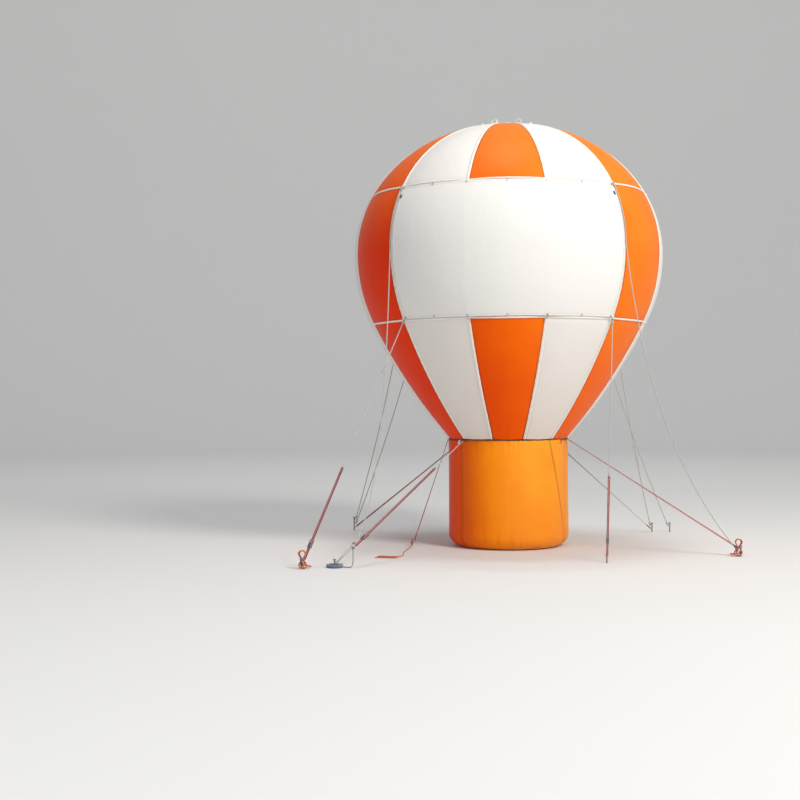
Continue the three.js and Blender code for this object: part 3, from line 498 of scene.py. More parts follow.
def make_piece(name, parts, slot, nodes, body="body", keen=None, finish=None):
    """Makes a mesh object of parts, gives it its finish, and lets it ride and stand for its nodes. Its
    shading is smooth, except over edges that turn by more than keen degrees."""
    parts = parts if isinstance(parts, list) else [parts]
    shift = np.cumsum([0] + [len(p["points"]) for p in parts[:-1]])
    points, uv, mark = (np.concatenate([p[key] for p in parts]) for key in ("points", "uv", "mark"))
    quads, tris = (np.concatenate([p[key] + s for p, s in zip(parts, shift)]) for key in ("quads", "tris"))
    mesh = bpy.data.meshes.new(name)
    mesh.vertices.add(len(points))
    mesh.vertices.foreach_set("co", points.astype(np.float32).ravel())
    mesh.loops.add(quads.size + tris.size)
    mesh.loops.foreach_set("vertex_index", np.concatenate([quads.ravel(), tris.ravel()]).astype(np.int32))
    starts = np.concatenate([np.arange(len(quads)) * 4, quads.size + np.arange(len(tris)) * 3])
    mesh.polygons.add(len(starts))
    mesh.polygons.foreach_set("loop_start", starts.astype(np.int32))
    mesh.polygons.foreach_set("use_smooth", np.full(len(starts), True))
    mesh.update(calc_edges=True)
    corner_uv = np.concatenate([uv.reshape(-1, 2), np.zeros((tris.size, 2))])
    mesh.uv_layers.new(name="UVMap").data.foreach_set("uv", corner_uv.astype(np.float32).ravel())
    mesh.attributes.new("seam", "FLOAT", "POINT").data.foreach_set("value", mark.astype(np.float32))
    if keen:
        mesh.set_sharp_from_angle(angle=math.radians(keen))
    mesh.materials.append(FINISH[finish or slot])
    piece = add_object(name, mesh)
    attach(piece, body)
    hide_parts(*nodes)
    return piece


# Paths, tubes and small solids

def lengths(path):
    return np.append(0, np.cumsum(np.linalg.norm(np.diff(path, axis=0), axis=1)))


def even(path, step):
    """The same path with its points a step apart by length."""
    length = lengths(path)
    wanted = np.linspace(0, length[-1], max(2, int(round(length[-1] / step)) + 1))
    return stack(*(np.interp(wanted, length, column) for column in np.array(path).T))


def spline(points, step):
    """Points a step apart along a smooth curve through a list of points: Catmull-Rom, whose tangent at each
    point is half the vector between its neighbours."""
    p = np.array(points, float)
    p = np.concatenate([2 * p[:1] - p[1:2], p, 2 * p[-1:] - p[-2:-1]])
    t = np.linspace(0, 1, 24, endpoint=False)[None, :, None]
    a, b, c, d = (p[k:len(p) - 3 + k, None] for k in range(4))
    curve = 2 * b + (c - a) * t + (2 * a - 5 * b + 4 * c - d) * t ** 2 + (3 * b - a - 3 * c + d) * t ** 3
    return even(np.concatenate([0.5 * curve.reshape(-1, 3), p[-2:-1]]), step)


def square_frames(path):
    """Two directions square to a path at each point, carried along without twist: the twist between each
    point's own frame and the one before is measured, summed and turned back."""
    t = np.gradient(path, axis=0)
    t /= np.linalg.norm(t, axis=1)[:, None]
    n = np.cross(t, np.eye(3)[np.argmin(np.abs(t), axis=1)])
    n /= np.linalg.norm(n, axis=1)[:, None]
    b = np.cross(t, n)
    before = n[:-1] - t[1:] * np.sum(n[:-1] * t[1:], axis=1)[:, None]
    turn = np.arctan2(np.sum(before * b[1:], axis=1), np.sum(before * n[1:], axis=1))
    twist = np.append(0, np.cumsum(turn))[:, None]
    side = np.cos(twist) * n + np.sin(twist) * b
    return side, np.cross(t, side)


def tube_part(path, radius, sides=16, spin=0.0, **more):
    """Rings along a path, at a radius for each point or each point and side, turned by spin."""
    side, up = square_frames(path)
    turn = (circle(sides) + spin)[..., None]
    r = np.broadcast_to(radius, (len(path), sides))[..., None]
    return rings_part(path[:, None] + r * (np.cos(turn) * side[:, None] + np.sin(turn) * up[:, None]), **more)


def rope_part(path, radius, sides=12, ends=0.0, lay=3.6):
    """A three-strand rope along a path: r = radius (1 - 0.16 (1 - cos 3f)), where f turns once per lay
    length of lay diameters. Near its ends it may thicken into a whipped knot, ends long."""
    run = lengths(path)[:, None]
    # crown is 1 on the strands' crowns and 0 in the grooves; as the mark it paints shade in the grooves.
    crown = 0.5 * (1 + np.cos(3 * circle(sides))) * np.ones_like(run)
    r = radius * (0.68 + 0.32 * crown)
    if ends:
        for gap in (run, run[-1] - run):
            knot = smooth_step((ends - gap) / (0.15 * ends))
            r = r * (1 - knot) + radius * (1.75 + 0.22 * np.cos(TAU * gap / (2.2 * radius))) * knot
    uv = stack(np.arange(sides + 1) / sides * 0.05, run)
    return tube_part(path, r, sides, TAU * run / (lay * 2 * radius), uv=uv, mark=crown)


def strap_part(path, width, thick, across=None, twist=0.0):
    """Flat webbing along a path. Its section is a superellipse |x|^6 + |y|^2.5 = 1, width by thick, lying
    with its width along the direction across, and turned by twist radians from end to end."""
    t = np.gradient(path, axis=0)
    t /= np.linalg.norm(t, axis=1)[:, None]
    wide = np.cross(t, (0, 0, 1.0)) if across is None else across - t * (t @ across)[:, None]
    wide = wide / np.linalg.norm(wide, axis=1)[:, None]
    up = np.cross(wide, t)
    run = lengths(path)[:, None]
    c, s = np.cos(circle(16)), np.sin(circle(16))
    x = (np.sign(c) * np.abs(c) ** (2 / 6) * width / 2) * np.ones_like(run)
    y = np.sign(s) * np.abs(s) ** (2 / 2.5) * thick / 2
    angle = twist * run / run[-1]
    a = x * np.cos(angle) - y * np.sin(angle)
    b = x * np.sin(angle) + y * np.cos(angle)
    points = path[:, None] + a[..., None] * wide[:, None] - b[..., None] * up[:, None]
    return rings_part(points, stack(np.concatenate([x, x[:, :1]], 1), run))


def lathe_part(profile, centre, axis="Z", sides=24, closed=False):
    """A profile of (radius, height) turned around an axis through centre. A closed profile is a ring."""
    r, h = np.array(profile, float).T[..., None]
    x, y, z = r * np.cos(circle(sides)), r * np.sin(circle(sides)), h
    points = stack(*{"Z": (x, y, z), "X": (z, x, y), "Y": (y, z, x)}[axis]) + np.array(centre)
    uv = stack(np.arange(sides + 1) / sides * TAU * r.mean(), lengths(np.array(profile, float))[:, None])
    if closed:
        return grid_part(points, np.concatenate([uv, uv[:1]]), around=True, along=True)
    return rings_part(points, uv)


def ring_part(centre, axis, ring_r, wire_r, sides=24, round_sides=10):
    """A torus: a wire of wire_r bent round a circle of ring_r whose axis is a direction in space."""
    axis = unit(axis)
    start = unit(np.cross(axis, np.eye(3)[np.argmin(np.abs(axis))]))
    big, small = circle(sides)[:, None, None], circle(round_sides)[None, :, None]
    out = np.cos(big) * start + np.sin(big) * np.cross(axis, start)
    points = np.array(centre) + out * (ring_r + wire_r * np.cos(small)) + axis * wire_r * -np.sin(small)
    return grid_part(points, around=True, along=True)


def bar_part(start, stop, profile, sides=16):
    """A round closed bar from start to stop. Its profile is a radius or pairs (share of the way, radius)."""
    start, stop = np.array(start, float), np.array(stop, float)
    way = unit(stop - start)
    side = unit(np.cross(way, np.eye(3)[np.argmin(np.abs(way))]))
    profile = profile if np.ndim(profile) else [(0, profile), (1, profile)]
    share, radius = np.array(profile, float).T[..., None, None]
    turn = circle(sides)[:, None]
    ring = np.cos(turn) * side + np.sin(turn) * np.cross(way, side)
    return rings_part(start + (stop - start) * share + radius * ring)


def block_part(low, high, edge, corner=None):
    """A box with rounded edges: its section in X and Y is a rectangle with round corners, which shrinks
    along a quarter circle of radius edge at the bottom and at the top."""
    low, high = np.array(low, float), np.array(high, float)
    half, middle = (high - low) / 2, (high + low) / 2
    corner = min(corner or 2 * edge, half[0], half[1])
    turn = (np.arange(32) + 0.5) * TAU / 32
    flat = stack(np.cos(turn), np.sin(turn))
    section = np.sign(flat) * (half[:2] - corner) + corner * flat
    a = np.linspace(0, np.pi / 2, 4)
    inset, rise = edge * (1 - np.sin(a)), edge * (1 - np.cos(a))
    inset = np.append(inset, inset[::-1])[:, None]
    height = np.append(low[2] + rise, high[2] - rise[::-1])[:, None]
    x, y = np.moveaxis(section - inset[..., None] * flat + middle[:2], -1, 0)
    return rings_part(stack(x, y, height))


def placed(part, origin, across, along, size=(1, 1, 1)):
    """A part made about the origin, put at a place with its X axis along across, its Y axis near along."""
    x = unit(across)
    z = unit(np.cross(across, along))
    part["points"] = part["points"] * size @ np.stack([x, np.cross(z, x), z]) + origin
    return part


def screw_part(place, axis, radius, height, sides=6):
    """A screw's head: a washer and a six-sided head with a chamfered top, standing along axis."""
    place, rise = np.array(place, float), unit(axis) * height
    washer = bar_part(place, place + rise * 0.3, [(0, radius * 1.5), (0.7, radius * 1.5), (1, radius * 1.3)])
    return [washer, bar_part(place, place + rise, [(0, radius), (0.82, radius), (1, radius * 0.8)], sides)]


def knot_part(centre, radius):
    """A knot in thick cord, a trefoil: x = sin t + 2 sin 2t, y = cos t - 2 cos 2t, z = -1.2 sin 3t."""
    t = np.linspace(0, TAU, 60)
    path = stack(np.sin(t) + 2 * np.sin(2 * t), np.cos(t) - 2 * np.cos(2 * t), -1.2 * np.sin(3 * t))
    return rope_part(path * radius * 0.95 + np.array(centre), radius, sides=9)


def polar(r, angle, z=0.0):
    """A point at a radius, an angle in degrees from the front, and a height."""
    return np.array([r * math.sin(math.radians(angle)), -r * math.cos(math.radians(angle)), z])


def arc_points(x, y, radius, start, stop, count):
    """Points of a flat arc about (x, y), from one angle to another in degrees."""
    a = np.radians(np.linspace(start, stop, count))
    return stack(x + radius * np.cos(a), y + radius * np.sin(a))


# Envelope

def envelope_profile():
    """Length, radius, height and outward direction along the envelope from neck to crown.

    Taper: an arc between the slopes taper_end and bulge_end. Bulge: an arc of BULGE_RADIUS below the
    equator. Dome: r = EQUATOR_R cos^(2/p) t and z = EQUATOR_Z + rise sin^(2/p) t, where p is CROWN_POWER."""
    def arc(start, stop, count, radius, r, z):
        slope = np.linspace(start, stop, count)[:-1]
        nr, nz = np.cos(slope), -np.sin(slope)
        return np.stack([r - radius * (math.cos(stop) - nr), z + radius * (nz + math.sin(stop)), nr, nz])

    bulge_end = math.asin((EQUATOR_Z - LOWER_SEAM_Z) / BULGE_RADIUS)
    lower_r = EQUATOR_R - BULGE_RADIUS * (1 - math.cos(bulge_end))
    taper_end = 2 * math.atan2(lower_r - NECK_R, LOWER_SEAM_Z - NECK_Z) - bulge_end
    taper_radius = (LOWER_SEAM_Z - NECK_Z) / (math.sin(taper_end) - math.sin(bulge_end))
    taper = arc(taper_end, bulge_end, 900, taper_radius, lower_r, LOWER_SEAM_Z)
    bulge = arc(bulge_end, 0, 700, BULGE_RADIUS, EQUATOR_R, EQUATOR_Z)
    t = np.linspace(0, math.pi / 2, 2400)
    rise = HEIGHT - EQUATOR_Z
    across, up = np.cos(t) ** (2 / CROWN_POWER), np.sin(t) ** (2 / CROWN_POWER)
    nr, nz = across ** (CROWN_POWER - 1) / EQUATOR_R, up ** (CROWN_POWER - 1) / rise
    size = np.hypot(nr, nz)
    dome = np.stack([EQUATOR_R * across, EQUATOR_Z + rise * up, nr / size, nz / size])
    r, z, nr, nz = np.concatenate([taper, bulge, dome], 1)
    return lengths(stack(r, z)), r, z, nr, nz


RUN, RADIUS, RISE, OUT_R, OUT_Z = envelope_profile()
DOME = slice(1600, None)
RUN_LOWER, RUN_EQUATOR, RUN_UPPER = (
    float(np.interp(z, RISE, RUN)) for z in (LOWER_SEAM_Z, EQUATOR_Z, UPPER_SEAM_Z))
RUN_PATCH = float(np.interp(-PATCH_R, -RADIUS[DOME], RUN[DOME]))
BANNER_LOW, BANNER_HIGH = RUN_LOWER + 0.0246, RUN_UPPER - 0.0256

# Wavelength, phase and share of each wave
PUCKER = [(0.118, 0.4, 0.5), (0.083, 2.1, 0.35), (0.201, 4.0, 0.45)]
SLACK = [(1.31, 0.9, 0.5), (0.77, 3.3, 0.3), (2.3, 5.1, 0.5)]


def radius_at(run):
    return np.interp(run, RUN, RADIUS)


def around_axis(r, angle, z):
    return stack(r * np.sin(angle), -r * np.cos(angle), z)


def on_envelope(run, angle, out):
    """Point at a length up the cloth and an angle from the front, moved outwards by out."""
    r, nr, z, nz = (np.interp(run, RUN, value) for value in (RADIUS, OUT_R, RISE, OUT_Z))
    return around_axis(r + out * nr, angle, z + out * nz)


def across_gore(angle):
    return np.mod(angle + HALF_GORE, 2 * HALF_GORE) - HALF_GORE


def lobe(run, angle):
    """Cloth bulges between seams: it lies LOBE (r / EQUATOR_R) c^2 lower, with c from -1 to 1 over a gore."""
    return -LOBE * radius_at(run) / EQUATOR_R * (across_gore(angle) / HALF_GORE) ** 2


def waves(x, seeds, amplitude):
    """A sum of sines whose wavelengths and phases come from a short list, so that it looks uneven."""
    return amplitude * sum(share * np.sin(TAU * x / wavelength + phase) for wavelength, phase, share in seeds)


def cloth_relief(run, angle, gore):
    """Small forms of a gore's cloth: puckers beside its seams that fade within 90 mm, gathers above the
    neck that fade within 260 mm, gathers beside the two ring seams and long soft buckles in the field."""
    r = radius_at(run)
    c = across_gore(angle)
    from_seam = (HALF_GORE - np.abs(c)) * r
    lateral = angle * r
    relief = waves(run + 0.35 * (np.sign(c) * 1.7 + gore), PUCKER, 0.0032) * np.exp(-from_seam / 0.055)
    relief = relief * smooth_step(from_seam / 0.03)
    folds = 0.0055 * np.sin(41 * angle + 0.8 * np.sin(7 * angle)) + 0.002 * np.sin(67 * angle)
    relief = relief + folds * np.exp(-run / 0.17) * smooth_step(run / 0.02 + 0.25)
    for seam_run in (RUN_LOWER, RUN_UPPER):
        gap = np.abs(run - seam_run)
        gather = np.sin(TAU * lateral / 0.105 + gore) * np.exp(-gap / 0.07)
        relief = relief - 0.0055 * bell(gap, 0.045) + 0.0016 * gather
    return relief + smooth_step(from_seam / 0.25) * waves(run + 0.4 * lateral + 1.3 * gore, SLACK, 0.0022)


def gore_rows():
    """Lengths up the cloth of a gore's rows, closer together at the neck and beside the ring seams."""
    stops = [0, 0.3, RUN_LOWER - 0.12, RUN_LOWER + 0.12, RUN_UPPER - 0.12, RUN_UPPER + 0.12]
    spans = [np.linspace(a, b, n, endpoint=False) for a, b, n in zip(stops, stops[1:], (26, 54, 14, 74, 14))]
    return np.concatenate(spans + [np.linspace(stops[-1], RUN_PATCH, 66)])[:, None]


def make_gores():
    """Twelve gores of cloth, orange and white in turn. The columns c crowd together towards the seams."""
    run = gore_rows()
    r = radius_at(run)
    c = np.linspace(-1, 1, 29)[None]
    c = np.sin(c * np.pi / 2) * 0.55 + c * 0.45
    seat = 0.0002 / np.maximum(r, 0.1)
    from_seam = (1 - np.abs(c)) * HALF_GORE * r
    beside_ring = bell(np.minimum(np.abs(run - RUN_LOWER), np.abs(run - RUN_UPPER)), 0.02)
    # The mark paints shade beside each seam and ring seam, with some grime.
    mark = np.maximum(1 - smooth_step((from_seam - 0.022) / 0.020), 0.6 * beside_ring)
    for index in range(GORES):
        angle = 2 * HALF_GORE * index + c * (HALF_GORE - seat)
        height = lobe(run, np.clip(c, -0.9999, 0.9999) * HALF_GORE) + cloth_relief(run, angle, index)
        part = shell_part(on_envelope(run, angle, height), on_envelope(run, angle, height - CLOTH),
                          stack(c * HALF_GORE * r, run), mark, 4)
        name = f"gore_{index + 1:02d}"
        piece = make_piece("cloth_" + name, part, "white_cloth" if index % 2 else "orange_cloth", [name])


def welt_heights(spread):
    """Height of a seam's welt across its width, for spread x from -1 to 1: a round piping bead in the
    middle on a flat sewn tape, 0.0038 + 0.0062 exp(-(3 x)^2), falling to the cloth at the edges."""
    return smooth_step((1 - np.abs(spread)) / 0.12) * (0.0038 + 0.0062 * np.exp(-(3.0 * spread) ** 2))


def make_seam_tapes():
    """Tapes over the seams. Down each valley the tape's section follows the cloth on both sides and adds
    the welt's height, and two ring tapes do so along the ring seams."""
    parts = []
    half = np.array([0.18, 0.36, 0.62, 0.86, 0.97, 1.0])
    spread = np.concatenate([-half[::-1], [0], half])[None]
    run = np.linspace(0.004, RUN_PATCH + 0.010, 300)[:, None]
    r = radius_at(run)
    width = 0.020 * (0.75 + 0.25 * smooth_step((r - 0.4) / 1.0))
    for index in range(GORES):
        angle = HALF_GORE * (2 * index + 1) + (spread * width + waves(run + 0.7 * index, PUCKER, 0.0012)) / r
        low = lobe(run, angle)
        ripple = waves(run + 0.31 * index, PUCKER, 0.0010) * spread
        outer = on_envelope(run, angle, low + welt_heights(spread) + 0.0012 + ripple)
        inner = on_envelope(run, angle, low - 0.001)
        parts.append(shell_part(outer, inner, stack(spread * 0.02, run), coarse=6))
    turn = circle(480)[None]
    for seam_run in (RUN_LOWER, RUN_UPPER):
        rows = seam_run + spread.T * 0.013
        low = lobe(rows, turn)
        sag = 0.0008 * np.sin(96 * turn) + 0.0006 * np.sin(47 * turn + 1)
        outer = on_envelope(rows + sag, turn, low + welt_heights(spread.T) * 0.8 + 0.0010)
        inner = on_envelope(rows + sag, turn, low - 0.004)
        parts.append(round_shell(outer, inner, (full_round(turn, radius_at(seam_run)), rows), 6))
    return parts


def make_banner(name, node, facing):
    """Blank banner over three gores: a taut sheet at an even height above the cloth with long soft buckles,
    and a rolled hem 24 mm wide. Rows and columns are added in the hem."""
    hem_rows = np.array([0.006, 0.012, 0.016, 0.020, 0.024])
    hem_columns = np.array([0.003, 0.006, 0.009, 0.012])
    run = [np.linspace(BANNER_LOW, BANNER_HIGH, 76), BANNER_LOW + hem_rows, BANNER_HIGH - hem_rows]
    run = np.sort(np.concatenate(run))[:, None]
    angle = [np.linspace(-BANNER_HALF, BANNER_HALF, 121), -BANNER_HALF + hem_columns,
             BANNER_HALF - hem_columns]
    angle = np.sort(np.concatenate(angle))[None]
    r = radius_at(run)
    from_edge = np.minimum(np.minimum(run - BANNER_LOW, BANNER_HIGH - run), (BANNER_HALF - np.abs(angle)) * r)
    hem = 0.0026 * smooth_step((0.024 - from_edge) / 0.005) * smooth_step(from_edge / 0.003 + 0.35)
    over_seam = bell((np.abs(angle) - HALF_GORE) * r, 0.05)
    buckles = waves(run * 0.8 + 1.2 * angle, SLACK, 0.0016) + waves(angle * 2.1 - 0.4 * run, SLACK, 0.0016)
    height = 0.0045 + buckles + hem + 0.0018 * over_seam
    # The mark paints a faint line of shade along the hem's inner edge.
    part = shell_part(on_envelope(run, facing + angle, height),
                      on_envelope(run, facing + angle, height - 0.002 - 0.6 * hem),
                      stack(angle * r, run), bell(from_edge - 0.024, 0.003), 8)
    piece = make_piece(name, part, "banner_cloth", [node])


def make_crown():
    """Crown patch: a disc of cloth on the dome with a hem and radial pulls."""
    turn = circle(144)[None]
    r = np.concatenate([np.linspace(0.004, 0.35, 37), [0.362, 0.372, 0.380, 0.388, 0.393, 0.396]])[:, None]
    run = np.interp(-r, -RADIUS[DOME], RUN[DOME])
    pull = smooth_step(r / 0.3) * (0.0022 * np.cos(GORES * turn) + 0.0012 * np.sin(31 * turn + 9 * r))
    low = lobe(run, turn) * smooth_step((r - 0.2) / 0.2)
    hem = 0.002 * smooth_step((r - 0.360) / 0.006) - 0.006 * smooth_step((r - 0.392) / 0.004)
    outer = on_envelope(run, turn, low + 0.0052 + pull + hem)
    inner = on_envelope(run, turn, low - 0.0015)
    points = np.concatenate([inner[::3], outer[::-1]])
    return rings_part(points[:, ::-1], stack(full_round(turn, 0.3), np.concatenate([r[::3], r[::-1]])))


def crown_loops():
    """Six webbing loops on the crown, each an arch: up a side, a half circle and down, with two sewn feet."""
    parts = []
    radius = 0.345
    foot = float(np.interp(-radius, -RADIUS[DOME], RISE[DOME]))
    side = [(0.078, 0.002), (0.060, 0.003), (0.050, 0.006), (0.0445, 0.014)]
    bow = [(-0.0425 * math.cos(a), 0.030 + 0.0425 * math.sin(a)) for a in np.linspace(0, math.pi, 17)]
    arch = [(-s, h) for s, h in side] + bow + side[::-1]
    for index in range(6):
        angle = (index + 0.5) * 60
        lean = 0.06 * math.sin(2.1 * index)
        path = [polar(radius + lean * h, angle, foot + h) + polar(s, angle + 90) for s, h in arch]
        parts.append(strap_part(spline(path, 0.006), 0.025, 0.004, across=polar(1, angle)))
    return parts


# Base

def base_outline():
    """Half section of the inflated base from its foot to its head: a soft round foot, an upright wall and a
    tight round head. Points are (radius, height) a few centimetres apart."""
    foot_r, head_r = 0.19, 0.04
    wall = stack(BASE_R, np.linspace(foot_r, BASE_TOP - head_r, 60)[1:-1])
    foot = arc_points(BASE_R - foot_r, foot_r, foot_r, -90, 0, 26)
    head = arc_points(BASE_R - head_r, BASE_TOP - head_r, head_r, 0, 90, 14)
    return np.concatenate([[[FLOOR_R, 0.0]], foot, wall, head, [[0.820, BASE_TOP]]])


def base_gap(angle, line):
    """How far a place on the base lies to the right of a line, along its round wall."""
    return (np.mod(angle - line + np.pi, TAU) - np.pi) * BASE_R


def crease_gap(height, angle, top, sweep):
    """How far a place lies to the right of a slanting crease: at angle top at the head, swept at the foot."""
    return base_gap(angle, math.radians(top) + math.radians(sweep) * (BASE_TOP - height) / BASE_TOP)


def base_relief(height, angle):
    """Forms of the base's cloth: a valley with a sewn ridge at each seam, two long diagonal creases, folds
    that hang from the gathered head and folds that rise from the foot."""
    relief = 0 * height * angle
    for seam in BASE_SEAMS:
        near = np.abs(base_gap(angle, math.radians(seam)))
        relief = relief - 0.020 * np.exp(-near / 0.055) - 0.006 * np.exp(-near / 0.25)
        relief = relief + 0.0045 * smooth_step((0.011 - near) / 0.005)
        relief = relief + waves(height + seam, PUCKER, 0.0045) * np.exp(-near / 0.06)
    for top, sweep, depth, wide in CREASES:
        gap = crease_gap(height, angle, top, sweep)
        relief = relief - depth * bell(gap, wide) + 0.4 * depth * bell(gap - 0.055, 0.04)
    pleat = np.abs(np.sin(16.5 * angle + 0.9 * np.sin(5 * angle))) ** 0.6
    hanging = 0.011 * (pleat - 0.6) + 0.003 * np.sin(71 * angle)
    pleat = np.abs(np.sin(11.5 * angle + 1.3 * np.sin(4 * angle))) ** 0.7
    rising = 0.012 * (pleat - 0.6) + 0.0022 * np.sin(53 * angle + 2)
    relief = relief + np.exp(-(BASE_TOP - height) / 0.13) * hanging + np.exp(-height / 0.22) * rising
    return relief + waves(angle * 0.8 + 0.5 * height, SLACK, 0.0036)


def base_shade(height, angle):
    """How much painted shade the base's cloth carries: a line on each side of its seams, a weaker strip left
    of each seam, and along its long front crease."""
    shade = bell(crease_gap(height, angle, *CREASES[0][:2]) + 0.003, 0.011)
    for seam in BASE_SEAMS:
        gap = base_gap(angle, math.radians(seam))
        near = np.abs(gap)
        lines = 0.4 * (1 - smooth_step((near - 0.010) / 0.006)) * smooth_step((near - 0.004) / 0.004)
        strip = 0.30 * smooth_step(-gap / 0.006) * smooth_step((0.060 + gap) / 0.02)
        shade = np.maximum(shade, np.maximum(lines, strip))
    return shade


def make_base():
    """The base's wall, a shell whose outer rows follow its outline and relief, pulled in rays round the
    hole of the air sleeve, and its round floor."""
    outline = base_outline()
    r, z = outline[:, :1], outline[:, 1:]
    turn = circle(480)[None]
    tangent = np.gradient(outline, axis=0)
    tangent /= np.linalg.norm(tangent, axis=1)[:, None]
    free = smooth_step((z - 0.004) / 0.06) * smooth_step((BASE_TOP + 0.02 - z) / 0.03)
    aside, above = (turn - np.pi) * BASE_R, z - NOZZLE_Z
    pull = bell(np.hypot(aside, above) - 0.13, 0.05)
    relief = base_relief(z, turn) * free - 0.003 + 0.003 * pull * np.sin(30 * np.arctan2(above, aside + 1e-6))

    def at(out, floor):
        height = z - (relief + out) * tangent[:, :1] * 0.6
        return around_axis(r + (relief + out) * tangent[:, 1:], turn, np.maximum(height, floor))

    run = lengths(outline)[:, None]
    # The mark is the base's painted shade from base_shade.
    part = round_shell(at(0.003, 0.0006), at(-0.001, 0.0012), (full_round(turn, BASE_R), run), 3,
                       base_shade(z, turn))
    piece = make_piece("base_cloth", part, "orange_cloth", ["base_wall"], finish="base_cloth")
    disc = [(0.004, 0.0004), (0.3, 0.0004), (0.634, 0.0006), (0.6385, 0.003), (0.6385, 0.006),
            (0.634, 0.0085), (0.6, 0.0098), (0.3, 0.0100), (0.004, 0.0100)]
    disc = lathe_part(disc, (0, 0, 0), sides=96)
    piece = make_piece("base_floor_cloth", disc, "orange_cloth", ["base_floor"])


def make_neck():
    """Crease band between base and envelope: a rope-like hem, an oval section of 42 by 22 mm that swells
    and shrinks by its gathers. Its near-black is partly its own colour and partly painted shade of the
    crease."""
    turn, small = circle(540)[:, None], circle(12)[None]
    gather = 1 + 0.16 * np.sin(82 * turn) + 0.08 * np.sin(51 * turn + 1)
    z = (BASE_TOP + NECK_Z) / 2 + 0.011 * np.sin(small) * gather
    points = around_axis(0.846 + 0.021 * gather * np.cos(small), turn, z)
    uv = stack(np.arange(13) / 12 * 0.08, np.arange(541)[:, None] / 540 * 5.3)
    return grid_part(points[:, ::-1], uv, around=True, along=True)


def surface_tab(angle, width, drop):
    """A webbing tab that hangs from the crease over the base's rounded head: in, over and down by drop."""
    section = [(0.822, 0.006), (0.840, 0.005), (0.856, -0.004), (BASE_R + 0.004, -0.026),
               (BASE_R + 0.006, -0.045), (BASE_R + 0.005, -0.045 - drop)]
    path = spline([polar(r, angle, BASE_TOP + z) for r, z in section], 0.005)
    return strap_part(path, width, 0.003, across=polar(1, angle + 90))


def make_neck_tabs():
    """Under the crease, a pale tab left of the front, and a cloth flap with a red tab right of it."""
    pale = [surface_tab(-53, 0.045, 0.010), surface_tab(-53, 0.026, 0.030)]
    make_piece("neck_tab_pale", pale, "white_tape", ["neck_band"])
    make_piece("neck_flap", surface_tab(53, 0.150, 0.002), "orange_cloth", ["neck_band"], finish="base_cloth")
    make_piece("neck_flap_red", surface_tab(60, 0.034, 0.012), "red_webbing", ["neck_band"])


def banner_ties(facing):
    """Ties of a banner: grommets in its hem, short ropes with knots from the corner ones to the seam tapes'
    lugs, two ropes down over the lower ring tape, and a thin dark block below each upper corner, a painted
    shadow of the banner's lifted side edge."""
    ropes, rings, slots = [], [], []
    low, high = BANNER_LOW + 0.019, BANNER_HIGH - 0.019

    def at(run, angle, out):
        return on_envelope(run, facing + angle, out)

    def grommet(run, angle):
        way = at(run, angle, 0.1) - at(run, angle, 0.0)
        rings.append(ring_part(at(run, angle, 0.0085), way, 0.0125, 0.0030, 28, 8))

    def tie(ends, knot, *way):
        ropes.append(rope_part(spline([at(*point) for point in way], 0.003), 0.0048, ends=ends))
        ropes.append(knot_part(at(*knot), 0.0042))

    for side in (-1, 1):
        for run, seam, up in ((low, RUN_LOWER, 1), (high, RUN_UPPER, -1)):
            angle = side * (BANNER_HALF - 0.019 / float(radius_at(run)))
            lug = side * math.radians(45)
            grommet(run, angle)
            knot = (run - 0.010 * up, angle + side * 0.005, 0.019)
            tie(0.016, knot, (run, angle, 0.001), (run - 0.004 * up, angle + side * 0.002, 0.017),
                (run - 0.022 * up, angle + side * 0.012, 0.019),
                (seam + 0.004 * up, lug - side * 0.005, 0.012), (seam + 0.002 * up, lug, 0.004))
        # A thin dark block on the banner's side edge: a painted shadow under its lifted edge.
        run, angle = RUN_UPPER - 0.175, side * (BANNER_HALF - 0.010)
        place = at(run, angle, 0.0085)
        block = block_part((-0.016, -0.026, -0.004), (0.016, 0.026, 0.004), 0.0012, 0.003)
        sideways = polar(1, math.degrees(facing + side * BANNER_HALF) + 90)
        slots.append(placed(block, place, sideways, at(run + 0.05, angle, 0.0085) - place))
        angle = side * HALF_GORE
        grommet(low, angle)
        tie(0.014, (low - 0.012, angle, 0.018), (low, angle, 0.001), (low - 0.004, angle, 0.016),
            (low - 0.024, angle, 0.013), (RUN_LOWER - 0.004, angle, 0.006),
            (RUN_LOWER - 0.018, angle, -0.006))
    for angle in np.radians([-29, 0, 29]):
        grommet(low, angle)
        grommet(high, angle)
    for angle in (-HALF_GORE, HALF_GORE):
        grommet(high, angle)
    return ropes, rings, slots


def make_banner_ties():
    for name, facing in (("front", 0.0), ("back", math.pi)):
        ropes, rings, slots = banner_ties(facing)
        make_piece("banner_tie_ropes_" + name, ropes, "grey_rope", ["banner_" + name])
        make_piece("banner_grommets_" + name, rings, "guard_wire", ["banner_" + name])
        # The dark blocks are painted shadows of the banner's lifted side edges.
        make_piece("banner_painted_shadows_" + name, slots, "dark_webbing", ["banner_" + name])


# Stays

SEAM_RUN = {"upper": RUN_UPPER, "lower": RUN_LOWER}


def foot_of(stake):
    return np.array([*STAKES[stake][:2], 0])


def lug_place(ring, angle, out):
    """Where a lug stands: on its ring seam in the valley, or under the neck, moved outwards by out."""
    if ring == "neck":
        slope = math.radians(27)
        return polar(0.860 + out * math.cos(slope), angle, NECK_Z - 0.005 - out * math.sin(slope))
    run = SEAM_RUN[ring]
    return on_envelope(run, math.radians(angle), out - LOBE * radius_at(run) / EQUATOR_R)


def eye_place(x, y, height, seen_from):
    """Centre of an eye that stands EYE_OFF from a stake or toggle towards its stay."""
    return np.array([x, y, height]) + unit([seen_from[0] - x, seen_from[1] - y, 0]) * EYE_OFF


